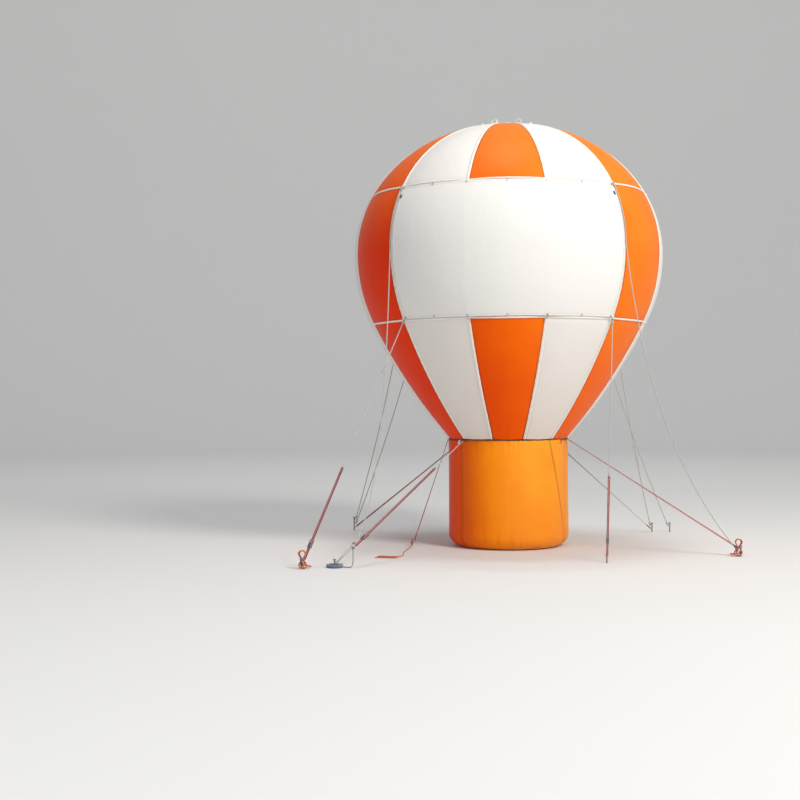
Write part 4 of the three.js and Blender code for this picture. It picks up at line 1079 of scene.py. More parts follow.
def stay_run(name):
    """A stay's lug head and its eye, the way that each faces, and its path. A stay above the equator first
    lies along its seam, then hangs in a quadratic curve through a point that pulls it down."""
    ring, angle, anchor, height, _, _, sag = STAYS[name]
    head = lug_place(ring, angle, 2 * STAND_OFF if ring == "neck" else STAND_OFF)
    eye = eye_place(*(SLING_PIN if anchor == "sling" else STAKES[anchor])[:2], height, head)
    lying = head[None]
    if ring == "upper":
        run = np.linspace(RUN_UPPER, RUN_EQUATOR, 80)
        lying = on_envelope(run, math.radians(angle), STAND_OFF - LOBE * radius_at(run) / EQUATOR_R)
    pull = lying[-1] + (eye - lying[-1]) * (0.2 if ring == "upper" else 0.5) - np.array([0, 0, sag])
    head_way = unit((lying[1] if ring == "upper" else pull) - head)
    eye_way = unit(pull - eye)
    path = np.concatenate([head[None] + head_way * HEAD_REACH, lying[lengths(lying) > HEAD_REACH]])
    stop = eye + eye_way * HEAD_REACH
    t = np.linspace(0, 1, 120)[1:, None]
    path = np.concatenate([path, (1 - t) ** 2 * path[-1] + 2 * t * (1 - t) * pull + t ** 2 * stop])
    return {"head": head, "head_way": head_way, "eye": eye, "eye_way": eye_way, "path": path}


def tie_ring(centre, way, out):
    """Steel ring in which a stay is tied. Its plane holds the stay's way and the way out of its seat."""
    axis = np.cross(way, out)
    if np.linalg.norm(axis) < 0.05:
        axis = np.cross(way, (0, 0, 1.0))
    return ring_part(centre, axis, RING_R, 0.0031, 28, 10)


def lug_parts(ring, angle, head, way):
    """Lug of a stay: a webbing patch sewn over the seam and a doubled tab that holds its ring, or, under
    the neck, a tab that comes out of the crease. Returns webbing parts and the steel ring."""
    out = unit(lug_place(ring, angle, 0.05) - lug_place(ring, angle, 0.0))
    across = polar(1, angle + 90)
    steel = tie_ring(head, way, out)
    top = head - out * RING_R
    if ring == "neck":
        root = lug_place(ring, angle, -0.012)
        path = spline([root, root + out * 0.018, top], 0.004)
        return [strap_part(path, 0.025, 0.005, across=across)], steel
    down = np.linspace(-0.042, 0.042, 15)[:, None]
    wide = np.linspace(-0.034, 0.034, 13)[None]
    run = SEAM_RUN[ring] + down
    turn = math.radians(angle) + wide / radius_at(SEAM_RUN[ring])
    edge = smooth_step((0.042 - np.abs(down)) / 0.006) * smooth_step((0.034 - np.abs(wide)) / 0.006)
    seat = lobe(run, turn) + welt_heights(np.clip(wide / 0.02, -1, 1)) * 0.8
    outer = on_envelope(run, turn, seat + 0.0012 + 0.0024 * edge)
    patch = shell_part(outer, on_envelope(run, turn, seat - 0.001), stack(wide, down))
    along = np.cross(out, across)
    arch = ((-0.008, -0.028), (-0.006, -0.014), (0.0035, 0), (-0.006, 0.014), (-0.008, 0.028))
    path = spline([top + out * rise + along * aside for rise, aside in arch], 0.003)
    return [patch, strap_part(path, 0.025, 0.0028, across=across)], steel


def ratchet_parts(tie, stop, width):
    """Ratchet and buckle of a tie-down strap. The ratchet has two side plates, a slotted spindle with wound
    webbing, a cross bar and a handle with a grip; the buckle is a bent wire that the rope is tied in."""
    def across_bar(reach, y, z, profile, sides=14):
        return bar_part((-reach, y, z), (reach, y, z), profile, sides)

    way = unit(stop - tie)
    across = unit(np.cross(way, (0, 0, 1.0)))
    half = width * 0.56
    steel = []
    for side in (-half, half):
        lever = side * 0.86
        steel += [block_part((side - 0.0014, -0.058, -0.013), (side + 0.0014, 0.058, 0.013), 0.0008, 0.0014),
                  block_part((lever - 0.0013, -0.030, 0.002), (lever + 0.0013, 0.056, 0.016), 0.0008, 0.0013),
                  bar_part((side * 1.04, -0.026, 0), (side * 1.16, -0.026, 0),
                           [(0, 0.010), (0.2, 0.014), (0.8, 0.014), (1, 0.010)], 18)]
    grip = [(0, 0.0045), (0.05, 0.0065), (0.95, 0.0065), (1, 0.0045)]
    steel += [across_bar(half * 1.2, -0.026, 0, 0.006), across_bar(half, 0.046, -0.004, 0.005),
              across_bar(half * 0.9, 0.052, 0.011, grip),
              block_part((-half * 0.7, 0.004, 0.004), (half * 0.7, 0.026, 0.007), 0.001, 0.004)]
    spool = [(0, 0.0115), (0.03, 0.0135), (0.97, 0.0135), (1, 0.0115)]
    wound = across_bar(width * 0.49, -0.026, 0, spool, 20)
    for part in steel + [wound]:
        placed(part, stop - way * 0.220, across, way)
    buckle = ring_part((0, 0, 0), (0, 0, 1), 0.0115, 0.0032, 28, 8)
    steel.append(placed(buckle, tie + way * 0.016, across, way, (width * 0.62 / 0.0147, 1.2, 1.0)))
    return wound, steel


def make_stays():
    """Ropes, straps, lugs and rings of all the stays. A strap has its ends folded back, sewn double."""
    tabs, neck_tabs, steel = [], [], []
    for name, (ring, angle, _, _, share, width, _) in STAYS.items():
        run = stay_run(name)
        path = run["path"]
        cloth, tied = lug_parts(ring, angle, run["head"], run["head_way"])
        (neck_tabs if ring == "neck" else tabs).extend(cloth)
        steel.append(tied)
        start, stop = path[0], path[-1]
        tie = start + (stop - start) * share
        if share > 0:
            line = even(path if share == 1 else [start, tie], 0.0075)
            rope = rope_part(line, ROPE_R, ends=0.045, lay=4.2)
            make_piece("rope_" + name, rope, "grey_rope", ["stay_" + name])
        if share == 1:
            continue
        parts = [strap_part(even([tie, stop], 0.02), width, STRAP_THICK, twist=0.0 if width > 0.04 else 0.5)]
        for end, inwards in ((tie, unit(stop - start)), (stop, unit(start - stop))):
            fold = even([end + inwards * 0.002, end + inwards * 0.085], 0.01)
            parts.append(strap_part(fold, width * 0.97, STRAP_THICK * 1.9))
        if share > 0:
            wound, metal = ratchet_parts(tie, stop, width)
            parts.append(wound)
            steel += metal
        make_piece("webbing_" + name, parts, "red_webbing", [("strap_" if share > 0 else "stay_") + name])
    make_piece("stay_lug_tabs", tabs, "white_tape", ["seam_tapes"])
    make_piece("neck_lug_tabs", neck_tabs, "dark_webbing", ["neck_band"])
    make_piece("stay_rings_and_ratchets", steel, "stake_steel", ["seam_tapes"], keen=40)


def eye_parts(x, y, runs):
    """A forged neck and a ring for each stay that is tied to a pin."""
    parts = []
    for run in runs:
        eye, root = run["eye"], np.array([x, y, run["eye"][2]])
        out = unit(eye - root)
        profile = [(0, 0.0085), (0.35, 0.0080), (0.75, 0.0052), (1, 0.0046)]
        parts += [bar_part(root, eye - out * 0.0100, profile, 14), tie_ring(eye, run["eye_way"], out)]
    return parts


def stay_runs(anchor):
    return [stay_run(name) for name, row in STAYS.items() if row[2] == anchor]


def sling_run():
    x, y, low, high = SLING_PIN
    head = np.array([x, y, (low + high) / 2])
    eye = eye_place(*STAKES["stake_front_left_inner"][:2], 0.070, head)
    return {"head": head, "eye": eye, "eye_way": unit(head - eye)}


def make_stakes():
    """Steel stakes: each a round pin with a turned collar and a hammered, slightly mushroomed head."""
    pin = np.array([(0, 0.0100), (0.3, 0.0100), (0.55, 0.0099), (0.80, 0.0100), (0.86, 0.0104),
                    (0.875, 0.0150), (0.89, 0.0188), (0.93, 0.0203), (0.97, 0.0196), (0.992, 0.0165),
                    (1.0, 0.0120)])
    for name, (x, y, height) in STAKES.items():
        profile = pin.copy()
        profile[5:, 0] = 1 - (1 - pin[5:, 0]) * 0.13 / height
        profile[4, 0] = profile[5, 0] - 0.02
        runs = stay_runs(name) + ([sling_run()] if name == "stake_front_left_inner" else [])
        parts = [bar_part((x, y, 0.0), (x, y, height), profile, 24)] + eye_parts(x, y, runs)
        make_piece("pin_" + name[6:], parts, "stake_steel", [name], keen=40)


def make_sling():
    """Doubled white webbing from a steel toggle, which holds two stays, down to its stake: the strap
    itself, a loop round the toggle and the sewn fold at its end."""
    x, y, low, high = SLING_PIN
    run = sling_run()
    head, stop = run["head"], run["eye"] + run["eye_way"] * HEAD_REACH
    way = unit(stop - head)
    side = unit(np.cross(way, (0, 0, 1.0)))
    up = np.cross(side, way)
    line = even([head + way * 0.045, stop], 0.01)
    width = 0.030 + 0.020 * smooth_step(lengths(line)[:, None] / 0.06)
    turn = np.linspace(-2.2, 2.2, 13)[:, None]
    bend = head - 0.0128 * (np.cos(turn) * unit(way * [1, 1, 0]) - np.sin(turn) * side)
    loop = np.concatenate([[head + way * 0.080 - side * 0.002, head + way * 0.045 - side * 0.004], bend,
                           [head + way * 0.045 + side * 0.004, head + way * 0.080 + side * 0.002]])
    cloth = [strap_part(line, width, STRAP_THICK, across=up, twist=-1.25),
             strap_part(spline(loop, 0.004), 0.029, 0.0026, across=up),
             strap_part(even([stop, stop - way * 0.080], 0.01), 0.049, STRAP_THICK * 1.8,
                        across=math.cos(1.25) * up - math.sin(1.25) * side)]
    toggle = [(0, 0.0075), (0.04, 0.0098), (0.12, 0.0100), (0.88, 0.0100), (0.96, 0.0098), (1, 0.0075)]
    steel = [bar_part((x, y, low), (x, y, high), toggle, 24)] + eye_parts(x, y, stay_runs("sling"))
    make_piece("sling_webbing", cloth, "white_webbing", ["sling_front_left"])
    make_piece("sling_toggle", steel, "stake_steel", ["sling_front_left"])


# Spare ropes

def hitch_part(stake, route, way):
    """Spare rope's hitch: two and a half turns round the stake, then out to the face where the spare rope
    leaves: x = 0.0172 cos a, y = 0.0172 sin a, one rope's width down for each turn."""
    start, way = np.array(route[0]), np.array(way)
    side = np.cross((0, 0, 1.0), way)
    a = np.linspace(-5 * np.pi, 0, 60)[:, None]
    wraps = 0.0172 * (np.sin(a) * way - np.cos(a) * side) + [0, 0, 1.0] * (start[2] - 0.0141 * a / TAU)
    lead = [wraps[-1] + way * 0.008 + side * 0.001, start - way * 0.009 - side * 0.003, start]
    return rope_part(spline(np.concatenate([wraps[::4], lead]), 0.004) + foot_of(stake), CORD_R)


def hank_tie_part(stake, offset):
    """Four wraps of thin cord round the middle of a hank: a superellipse |x|^3 + |y|^3 = 1 that rises."""
    a = np.linspace(0, 4 * TAU, 260)
    x, y = (np.sign(c) * np.abs(c) ** (2 / 3) for c in (np.cos(a), np.sin(a)))
    path = foot_of(stake) + stack(offset + 0.0250 * x, -0.0527 + 0.0378 * y, 0.107 + 0.0076 * a / TAU)
    return rope_part(even(path, 0.004), 0.0037, sides=9)


def hank_path(stake, tail, offset, turns):
    """Spare rope from a stake into its hank. The tail is followed, then flat oval turns of two straight
    runs and two half circles, which start at the bottom. Their radius swings between 53 and 44 mm from turn
    to turn, they lean left and right by turns, a tie pinches them in the middle, and each turn lies one
    diameter behind the last."""
    full, straight = 0.053, 0.130
    quarter = math.pi * full / 2
    t = np.linspace(0, turns, int(turns * 72) + 1)
    run = np.mod(t, 1) * (4 * quarter + 2 * straight)
    edges = np.cumsum([quarter, straight, 2 * quarter, straight])
    spans = [run <= edge for edge in edges]
    first, over, last = run / full, (run - edges[1]) / full, (run - edges[3]) / full
    x = np.select(spans, [full * np.sin(first), full, full * np.cos(over), -full], -full * np.cos(last))
    z = np.select(spans, [full - full * np.cos(first), full + run - edges[0],
                          full + straight + full * np.sin(over), full + straight - (run - edges[2])],
                  full - full * np.sin(last))
    swing = 0.5 - 0.5 * np.cos(np.pi * t)
    z = 0.0075 + z * (1 - 0.15 * swing) + 0.012 * swing
    x = x * (1 - 0.19 * swing) * (1 - 0.71 * bell(z - 0.124, 0.053)) + 0.11 * np.cos(np.pi * t) * (z - 0.124)
    way = -1 if tail[-2][0] > tail[-1][0] else 1
    oval = stack(offset + way * x, -0.083 + 0.0152 * t, z)
    return foot_of(stake) + np.concatenate([tail, oval[3::6]])


def coil_path(stake, tail):
    """Spare rope down from the sling's pin into a round coil about its stake: twelve turns in three layers
    of four, a spiral in each layer, in and out in turn, with a hand's width to step up. Its lead runs into
    the first turn along it."""
    outer, pitch, lanes, layers, per_turn = 0.1045, 0.0142, 4, 3, 36
    t = np.linspace(0, lanes * layers, lanes * layers * per_turn + 1)[1:]
    layer = np.minimum(np.floor(t / lanes), layers - 1)
    within = t - layer * lanes
    inward = np.where(layer % 2 == 0, within, lanes - within)
    radius = outer - pitch * (lanes - 1) * inward / lanes
    step_up = smooth_step((within - (lanes - 0.17)) / 0.17) * (layer < layers - 1)
    coil = stack(radius * np.cos(TAU * t), radius * np.sin(TAU * t), 0.0078 + pitch * (layer + step_up))
    return foot_of(stake) + np.concatenate([tail + COIL_ENTRY, coil[3:]])


def add_cord(name, path, nodes, slot):
    """A spare rope along its route. Its length is worked out and not used."""
    line = spline(path, 0.0056)
    piece = make_piece(name, rope_part(line, CORD_R), slot, nodes)
    round(float(lengths(line)[-1]), 3)


def make_spare_ropes():
    """The four spare ropes, with the hitch of each round its stake and the cord tie of each hank."""
    for name, tail, offset, way in (("front_left", TAIL_FRONT_LEFT, 0.015, (1.0, 0, 0)),
                                    ("right", TAIL_RIGHT, -0.040, (-1.0, 0, 0))):
        stake = "stake_" + name
        hitch = make_piece("hitch_" + name, hitch_part(stake, tail, way), "orange_rope", [stake])
        tie = make_piece("hank_tie_" + name, hank_tie_part(stake, offset), "blue_rope", ["hank_" + name])
        add_cord("spare_rope_" + name, hank_path(stake, tail, offset, 4), ["tail_" + name, "hank_" + name],
                 "orange_rope")
    knot = knot_part((*SLING_PIN[:2], 0.2520), 0.0062)
    knot = make_piece("sling_knot", knot, "blue_rope", ["sling_front_left"])
    add_cord("spare_rope_sling", coil_path("stake_front_left_inner", TAIL_FRONT_LEFT_INNER),
             ["tail_front_left_inner", "coil_front_left_inner"], "blue_rope")
    hitch = hitch_part("stake_left", TAIL_LEFT, (0, -1.0, 0))
    hitch = make_piece("hitch_left", hitch, "orange_rope", ["stake_left"])
    path = foot_of("stake_left") + np.array(TAIL_LEFT)
    add_cord("spare_rope_left", path, ["tail_left"], "orange_rope")


# Blower

def spoke(angle, x=0.0, r=1.0):
    """A vector about the fan's axis: x along it, and r out from it at an angle from +Y."""
    return np.array([x, r * math.cos(angle), r * math.sin(angle)])


def add_screws(name, node, screws, keen=35):
    """A piece of screws, each by place, axis, radius, height and, if it isn't six, its sides."""
    make_piece(name, sum((screw_part(*screw) for screw in screws), []), "guard_wire", [node], keen=keen)


def housing_outline():
    """Side outline of the blower's housing about its fan's axis: a circle that runs into a duct with
    rounded corners, as points (y, z) evenly spaced by length."""
    scroll = arc_points(0, 0, 0.195, -180, 90, 90)[1:]
    top, low = arc_points(-0.225, 0.180, 0.015, 90, 180, 9), arc_points(-0.228, 0.017, 0.012, 180, 270, 9)
    return even(np.concatenate([scroll, top, low, scroll[:1]]), 1.4 / 144)[:-1]


def make_housing():
    """Moulded housing: two side shells that meet in a flange, with a rolled inlet lip, a bead and radial
    ribs on each side, screws round the flange, and a round nozzle with a bead that holds the sleeve."""
    loop = housing_outline()
    count = len(loop)
    spin = np.unwrap(np.arctan2(loop[:, 1], loop[:, 0]))
    spin = spin[0] + np.maximum.accumulate(spin - spin[0] + np.arange(count) * 1e-5)
    round_loop = stack(np.cos(spin), np.sin(spin))
    along = np.roll(loop, -1, 0) - np.roll(loop, 1, 0)
    normal = stack(along[:, 1], -along[:, 0]) / np.linalg.norm(along, axis=1)[:, None]

    def row(x, radius, share=0.0, inset=0.0):
        """A row between a circle, share 0, and the outline moved inwards by inset, share 1."""
        yz = round_loop * radius * (1 - share) + (loop - normal * inset) * share
        return np.concatenate([np.full((count, 1), x), yz], 1) + FAN

    rim = [(x, 0, 1, inset) for x, inset in (
        (0.0004, -0.0042), (0.0008, -0.0058), (0.0050, -0.0058), (0.0058, -0.0045), (0.0062, 0), (0.055, 0),
        (0.0900, 0), (0.0950, 0.0007), (0.0980, 0.0030), (0.0996, 0.0065))]
    face = [(0.0998, 0.130, 0.5, 0.012), (0.0998, 0.130), (0.1014, 0.127), (0.1014, 0.121), (0.0998, 0.118)]
    seat = [(0.0998, 0.084), (0.1012, 0.081), (0.1012, 0.077), (0.0998, 0.074), (0.0998, 0.031)]
    inlet = [(0.0998, 0.104), (0.0990, 0.0995), (0.0965, 0.0965), (0.0920, 0.0950), (0.0780, 0.0945),
             (0.0780, 0.0975), (0.0930, 0.0990), (0.0950, 0.1050)]
    inside = [(0.0950, 0.130, 0.9, 0.008), (0.0900, 0, 1, 0.0045), (-0.0900, 0, 1, 0.0045),
              (-0.0950, 0.130, 0.9, 0.008), (-0.0950, 0.031)]
    mirrored = [(-x, *rest) for x, *rest in (rim + face + seat)[::-1]]
    rows = [row(*values) for values in mirrored + rim + face + inlet + inside]
    parts = [grid_part(np.array(rows)[:, ::-1], around=True, along=True)]
    for degrees in range(-165, 136, 25):
        out = spoke(math.radians(degrees))
        reach = 0.180 if degrees < 88 else 0.172
        for side in (1, -1):
            rib = block_part((-0.0016, 0.131, -0.002), (0.0016, reach, 0.0038), 0.0007, 0.0014)
            parts.append(placed(rib, FAN + [0.0985 * side, 0, 0], np.cross(out, (side, 0, 0)), out))
    nozzle = [(0.1200, -0.2350), (0.1240, -0.2385), (0.1240, -0.2440), (0.1205, -0.2450), (0.1205, -0.3190),
              (0.1215, -0.3215), (0.1222, -0.3250), (0.1215, -0.3285), (0.1195, -0.3305), (0.1165, -0.330),
              (0.1165, -0.235)]
    parts.append(lathe_part(nozzle, (0, FAN[1], NOZZLE_Z), "Y", 72, closed=True))
    make_piece("blower_housing_shells", parts, "blower_plastic", ["blower_housing"], keen=35)
    step = count // 14
    screws = [(FAN + np.append(0.0062, loop[k] + normal[k] * 0.0005), (1, 0, 0), 0.0022, 0.0030)
              for k in range(step // 2, count, step)]
    screws += [(FAN + spoke(a, -0.1000, 0.0905), (-1, 0, 0), 0.0035, 0.0045)
               for a in np.radians(np.arange(22.5, 360, 45))]
    add_screws("blower_screws", "blower_housing", screws)


def make_guard():
    """Inlet guard: round wires, three thick and two thin rings on four straight wires across, with a domed
    hub plate and four clips with screws on the outer ring."""
    middle = FAN + [0.1028, 0, 0]
    parts = [ring_part(middle, (1, 0, 0), r, 0.0024, 96, 8) for r in (0.108, 0.072, 0.036)]
    parts += [ring_part(middle + [0.0002, 0, 0], (1, 0, 0), r, 0.0013, 80, 6) for r in (0.090, 0.054)]
    for k in range(4):
        reach = spoke(k * math.pi / 4 + 0.1, r=0.1062)
        parts.append(bar_part(middle - reach, middle + reach, 0.0021, 10))
    hub = [(0.0005, 0.0044), (0.008, 0.0040), (0.014, 0.0030), (0.0165, 0.0012), (0.0170, 0.0),
           (0.0160, -0.0012), (0.0005, -0.0016)]
    parts.append(lathe_part(hub, middle, "X", 32))
    for k in range(4):
        a = k * math.pi / 2 + 0.1 + math.pi / 8
        place = FAN + spoke(a, 0.1000, 0.1125)
        clip = block_part((-0.007, -0.010, -0.0040), (0.007, 0.010, 0.0052), 0.0006, 0.003)
        parts += screw_part(place + [0.0044, 0, 0], (1, 0, 0), 0.0033, 0.0030)
        parts.append(placed(clip, place, spoke(a - math.pi / 2), spoke(a)))
    make_piece("inlet_guard_wires", parts, "guard_wire", ["blower_inlet_guard"], keen=40)


def make_motor():
    """Motor: r = 0.066 with 30 cooling fins 6 mm deep along its body, a mounting flange, a smooth fan cover
    whose end has three ring slots, a switch box with a lid and a rocker, and a cord gland."""
    body = [(-0.1003, 0.0640), (-0.1008, 0.0680), (-0.1060, 0.0680), (-0.1066, 0.0660), (-0.1090, 0.0600),
            (-0.1110, 0.0660), (-0.1960, 0.0660), (-0.1980, 0.0600), (-0.2000, 0.0600), (-0.2006, 0.0676),
            (-0.2550, 0.0676), (-0.2610, 0.0650), (-0.2640, 0.0610), (-0.2653, 0.0560)]
    for r in (0.054, 0.040, 0.026):
        body += [(-0.2653, r), (-0.2632, r - 0.0005), (-0.2632, r - 0.0045), (-0.2653, r - 0.005)]
    x, r = np.array(body + [(-0.2653, 0.010)]).T[..., None]
    turn = circle(240)[None]
    gap = 1 - smooth_step((np.cos(30 * turn) + 0.15) / 0.3)
    r = r - 0.0065 * gap * (np.abs(x + 0.1535) < 0.043)
    points = stack(x, r * np.cos(turn), r * np.sin(turn)) + FAN * [0, 1, 1]
    parts = [rings_part(points[:, ::-1]),
             bar_part(FAN - [0.102, 0, 0], FAN - [0.092, 0, 0], [(0, 0.030), (0.9, 0.030), (1, 0.027)], 40),
             block_part((-0.2303, 1.442, 0.293), (-0.1303, 1.518, 0.3355), 0.0025, 0.006),
             block_part((-0.2295, 1.4428, 0.3362), (-0.1311, 1.5172, 0.3450), 0.0030, 0.006),
             block_part((-0.2020, 1.4600, 0.3445), (-0.1590, 1.5000, 0.3462), 0.0005, 0.003)]
    make_piece("motor_body", parts, "motor_steel", ["blower_motor"], keen=35)
    rocker = block_part((-0.0125, -0.0085, 0), (0.0125, 0.0085, 0.0035), 0.0012, 0.002)
    small = [placed(rocker, (-0.1803, 1.4800, 0.3455), (1, 0, 0.10), (0, 1, 0))]
    gland = [(0, 0.0115), (0.20, 0.0120), (0.22, 0.0098), (0.30, 0.0098), (1, 0.0098)]
    nut = [(0, 0.0115), (0.1, 0.0120), (0.9, 0.0120), (1, 0.0115)]
    dome = [(0, 0.0112), (0.1, 0.0115), (0.5, 0.0108), (0.8, 0.0085), (0.95, 0.0066), (1.0, 0.0055)]
    bars = ((1.510, 1.530, gland, 24), (1.5195, 1.5280, nut, 6), (1.528, 1.546, dome, 24))
    for start, stop, profile, sides in bars:
        small.append(bar_part((-0.1803, start, 0.323), (-0.1803, stop, 0.323), profile, sides))
    make_piece("motor_switch_and_gland", small, "fan_plastic", ["blower_motor"], keen=35)
    add_screws("motor_screws", "blower_motor", [((x, y, 0.3445), (0, 0, 1), 0.0024, 0.0022, 16)
                                                for x in (-0.223, -0.138) for y in (1.449, 1.511)])


def make_stand():
    """Stand: a folded plate on the ground, and two folded side plates with feet, gussets and screws."""
    parts = [block_part((-0.120, 1.330, 0.0004), (0.120, 1.630, 0.0060), 0.0012, 0.016)]
    screws = []
    for side in (-1, 1):
        x = side * 0.070
        parts.append(block_part((x - 0.0048, 1.360, 0.004), (x + 0.0048, 1.600, 0.1000), 0.0014, 0.0046))
        parts.append(block_part((x - 0.0015 + side * 0.002, 1.362, 0.0055),
                                (x + 0.0015 + side * 0.030, 1.598, 0.0085), 0.0008, 0.004))
        for y in (1.375, 1.480, 1.585):
            gusset = ((0, 0.046), (0.007, 0.026), (0.014, 0.013), (0.030, 0.008))
            parts.append(tube_part(spline([(x + side * out, y, z) for out, z in gusset], 0.004), 0.0032, 10))
        screws += [((x + side * 0.020, y, 0.0085), (0, 0, 1), 0.0038, 0.0045)
                   for y in (1.400, 1.440, 1.520, 1.560)]
        screws += [((x + side * 0.0048, y, 0.080), (side, 0, 0), 0.0038, 0.0045) for y in (1.395, 1.565)]
    make_piece("stand_plates", parts, "blower_steel", ["blower_stand"], keen=35)
    add_screws("stand_screws", "blower_stand", screws)


def make_handle():
    """Carrying handle: two feet with screws, and a tube whose grip has rings, r = 0.0084 + 0.0008 cos s."""
    low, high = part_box("blower_handle")
    top, base, y = high.z - 0.008, low.z, (low.y + high.y) / 2
    legs = [(-0.062, base + 0.004), (-0.062, top - 0.024), (-0.0595, top - 0.012), (-0.053, top - 0.004),
            (-0.042, top)]
    path = spline([(x, y, z) for x, z in legs + [(-x, z) for x, z in legs[::-1]]], 0.0022)
    inside = smooth_step((0.040 - np.abs(path[:, 0])) / 0.003) * (path[:, 2] > top - 0.002)
    radius = 0.0078 + inside * (0.0006 + 0.0008 * np.cos(TAU * path[:, 0] / 0.0088))
    parts = [tube_part(path, radius[:, None], 20)]
    screws = []
    for side in (-1, 1):
        x = side * 0.062
        foot = block_part((x - 0.014, y - 0.014, base), (x + 0.014, y + 0.014, base + 0.008), 0.0015, 0.006)
        collar = [(0, 0.0125), (0.5, 0.0105), (1, 0.0080)]
        parts += [foot, bar_part((x, y, base + 0.006), (x, y, base + 0.016), collar, 20)]
        screws += [((x + side * 0.006, y + aside, base + 0.0075), (0, 0, 1), 0.0020, 0.0022, 12)
                   for aside in (-0.0108, 0.0108)]
    make_piece("handle_grip", parts, "blower_plastic", ["blower_handle"], keen=40)
    add_screws("handle_screws", "blower_handle", screws, 40)


def make_impeller():
    """Fan wheel: back plate with a stiffening ring, hub, shaft end, front ring and eighteen curved blades.
    A blade's section is an arc of 24 mm chord and 2.4 mm rise, set 0.6 rad from the radius."""
    plate = [(0.0005, -0.0620), (0.0075, -0.0620), (0.1265, -0.0620), (0.1280, -0.0612), (0.1280, -0.0578),
             (0.1265, -0.0570), (0.1000, -0.0570), (0.0960, -0.0560), (0.0920, -0.0560), (0.0880, -0.0570),
             (0.0300, -0.0570), (0.0225, -0.0550), (0.0220, -0.0520), (0.0220, -0.0185), (0.0205, -0.0170),
             (0.0060, -0.0170), (0.0050, -0.0180), (0.0005, -0.0180)]
    ring = [(0.1032, 0.0570), (0.1268, 0.0570), (0.1280, 0.0578), (0.1280, 0.0612), (0.1268, 0.0620),
            (0.1032, 0.0620), (0.1020, 0.0612), (0.1020, 0.0580)]
    shaft = [(0, 0.0075), (0.04, 0.008), (1, 0.008)]
    parts = [lathe_part(plate, FAN, "X", 96), bar_part(FAN - [0.0917, 0, 0], FAN - [0.060, 0, 0], shaft, 24),
             lathe_part(ring, FAN, "X", 96, closed=True)]
    u = np.linspace(-1, 1, 7)[None, :, None]
    v = np.linspace(-0.0585, 0.0585, 3)[:, None, None]
    bow, thin = 0.0024 * (1 - u ** 2) - 0.0012, 0.0013 * (1 - 0.55 * u ** 2)
    for k in range(18):
        out, side = spoke(TAU * k / 18), spoke(TAU * k / 18 + math.pi / 2)
        chord = math.cos(0.6) * side + math.sin(0.6) * out
        rise = math.cos(0.6) * out - math.sin(0.6) * side
        face = FAN + out * 0.1135 + 0.0120 * u * chord + bow * rise + v * [1.0, 0, 0]
        parts.append(shell_part(face + rise * thin, face - rise * thin, np.zeros((3, 7, 2))))
    make_piece("fan_wheel", parts, "fan_plastic", ["blower_impeller"], body="impeller", keen=35)


def about_nozzle(radius, turn, y):
    return stack(radius * np.cos(turn), y, NOZZLE_Z + radius * np.sin(turn))


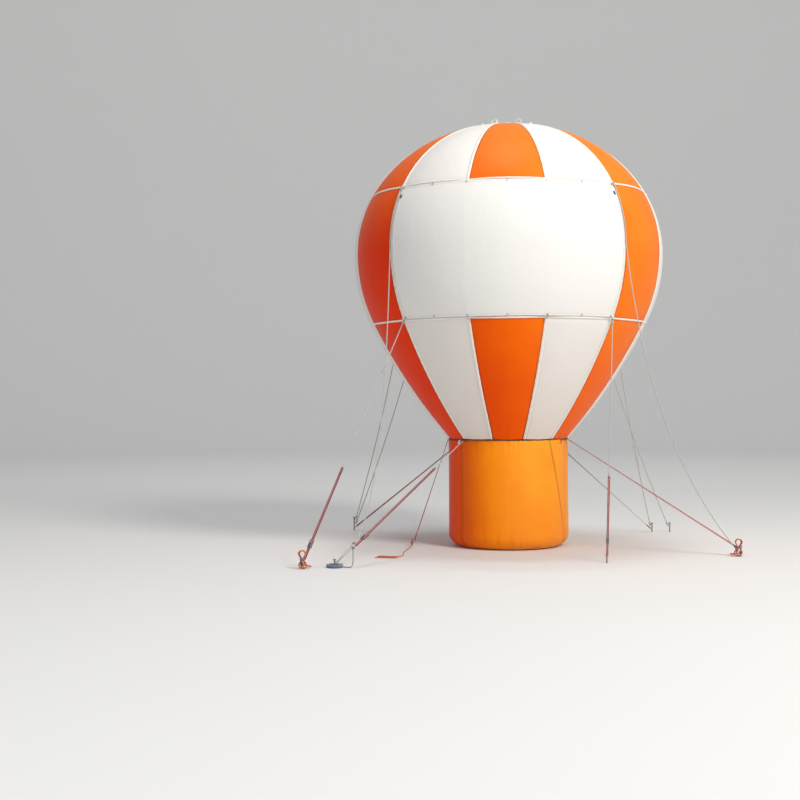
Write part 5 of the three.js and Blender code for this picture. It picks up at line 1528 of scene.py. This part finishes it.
def make_sleeve():
    """Cloth sleeve from the base's back to the nozzle: r = 0.1276 with slack ripples, deepest in its
    middle, pleats drawn in under its strap, and a flared free hem. The strap has a buckle and a tail."""
    root_y, strap_y, tie_turn = 0.8655, 1.179, 1.2
    turn = circle(160)[None]
    y = np.linspace(root_y, 1.2200, 81)[:, None]
    loose = np.sin(np.pi * np.clip((y - root_y) / 0.3545 / 0.85, 0, 1)) ** 0.8
    ripple = 0.0022 * np.sin(TAU * y / 0.061 + 1.5 * np.sin(turn) + 1.2 * np.sin(2 * turn + 1))
    ripple = ripple + 0.0012 * np.sin(9 * turn + 26 * y)
    drawn = bell(y - strap_y, 0.022)
    pleats = 0.0011 * np.sin(36 * turn + 0.7 * np.sin(3 * turn))
    pleats = pleats * (0.3 + 0.7 * np.exp(-np.abs(y - strap_y) / 0.035))
    flare = 0.0035 * smooth_step((y - 1.200) / 0.02)
    r = 0.1276 + loose * (ripple + 0.0008) + pleats * (1 - 0.7 * drawn) + flare - 0.0004 * drawn
    root = 0.004 * np.exp(-(y - root_y) / 0.012)
    hem = 0.0010 * smooth_step((y - 1.206) / 0.003)
    # mark: painted shade along the hem's line and at the root, where the sleeve meets the base.
    mark = bell(y - 1.2075, 0.0015) * 0.5 + 0.5 * np.exp(-(y - root_y) / 0.006)
    part = round_shell(about_nozzle(r + root + hem, turn, y), about_nozzle(r - 0.0016 - hem, turn, y),
                       (full_round(turn, 0.126), y), 4, mark)
    piece = make_piece("sleeve_cloth", part, "orange_cloth", ["air_sleeve"], finish="base_cloth")
    tail = np.linspace(tie_turn, 0.72, 14)
    lift = 0.1335 + 0.004 * smooth_step((tie_turn - tail) / 0.48) ** 2
    hoop = about_nozzle(0.1306, np.linspace(0, TAU, 121) + tie_turn, strap_y)
    parts = [strap_part(hoop, 0.026, 0.0032, across=np.array([0, 1.0, 0])),
             strap_part(about_nozzle(lift, tail, strap_y), 0.025, 0.0026, across=np.array([0, 1.0, 0]))]
    make_piece("sleeve_strap_webbing", parts, "dark_webbing", ["sleeve_strap"])
    out = np.array([math.cos(tie_turn), 0, math.sin(tie_turn)])
    way = (-math.sin(tie_turn), 0, math.cos(tie_turn))
    place = about_nozzle(0.1330, tie_turn, strap_y) + out * 0.0026
    wire_ring = ring_part((0, 0, 0), (0, 0, 1), 0.013, 0.0018, 28, 8)
    buckle = [placed(wire_ring, place - out * 0.0010, (0, 1, 0), way, (1.22, 0.85, 1.0)),
              bar_part(place - [0, 0.0155, 0], place + [0, 0.0155, 0], 0.0017, 10)]
    make_piece("sleeve_buckle", buckle, "guard_wire", ["sleeve_strap"])


make_camera()
make_stage()
make_finishes()
keep_finishes()
make_spare_ropes()
make_gores()
make_banner("banner_sheet_front", "banner_front", 0.0)
make_banner("banner_sheet_back", "banner_back", math.pi)
crown = make_piece("crown_patch_cloth", make_crown(), "white_cloth", ["crown_patch"])
make_piece("crown_webbing_loops", crown_loops(), "white_tape", ["crown_patch"])
make_base()
# Near-black hem: partly its own colour, partly painted shade of the crease.
make_piece("neck_hem", make_neck(), "dark_webbing", ["neck_band"])
make_neck_tabs()
make_banner_ties()
make_piece("seam_tape_cage", make_seam_tapes(), "white_tape", ["seam_tapes"])
make_stays()
make_stakes()
make_sling()
make_housing()
make_guard()
make_motor()
make_stand()
make_handle()
make_impeller()
make_sleeve()
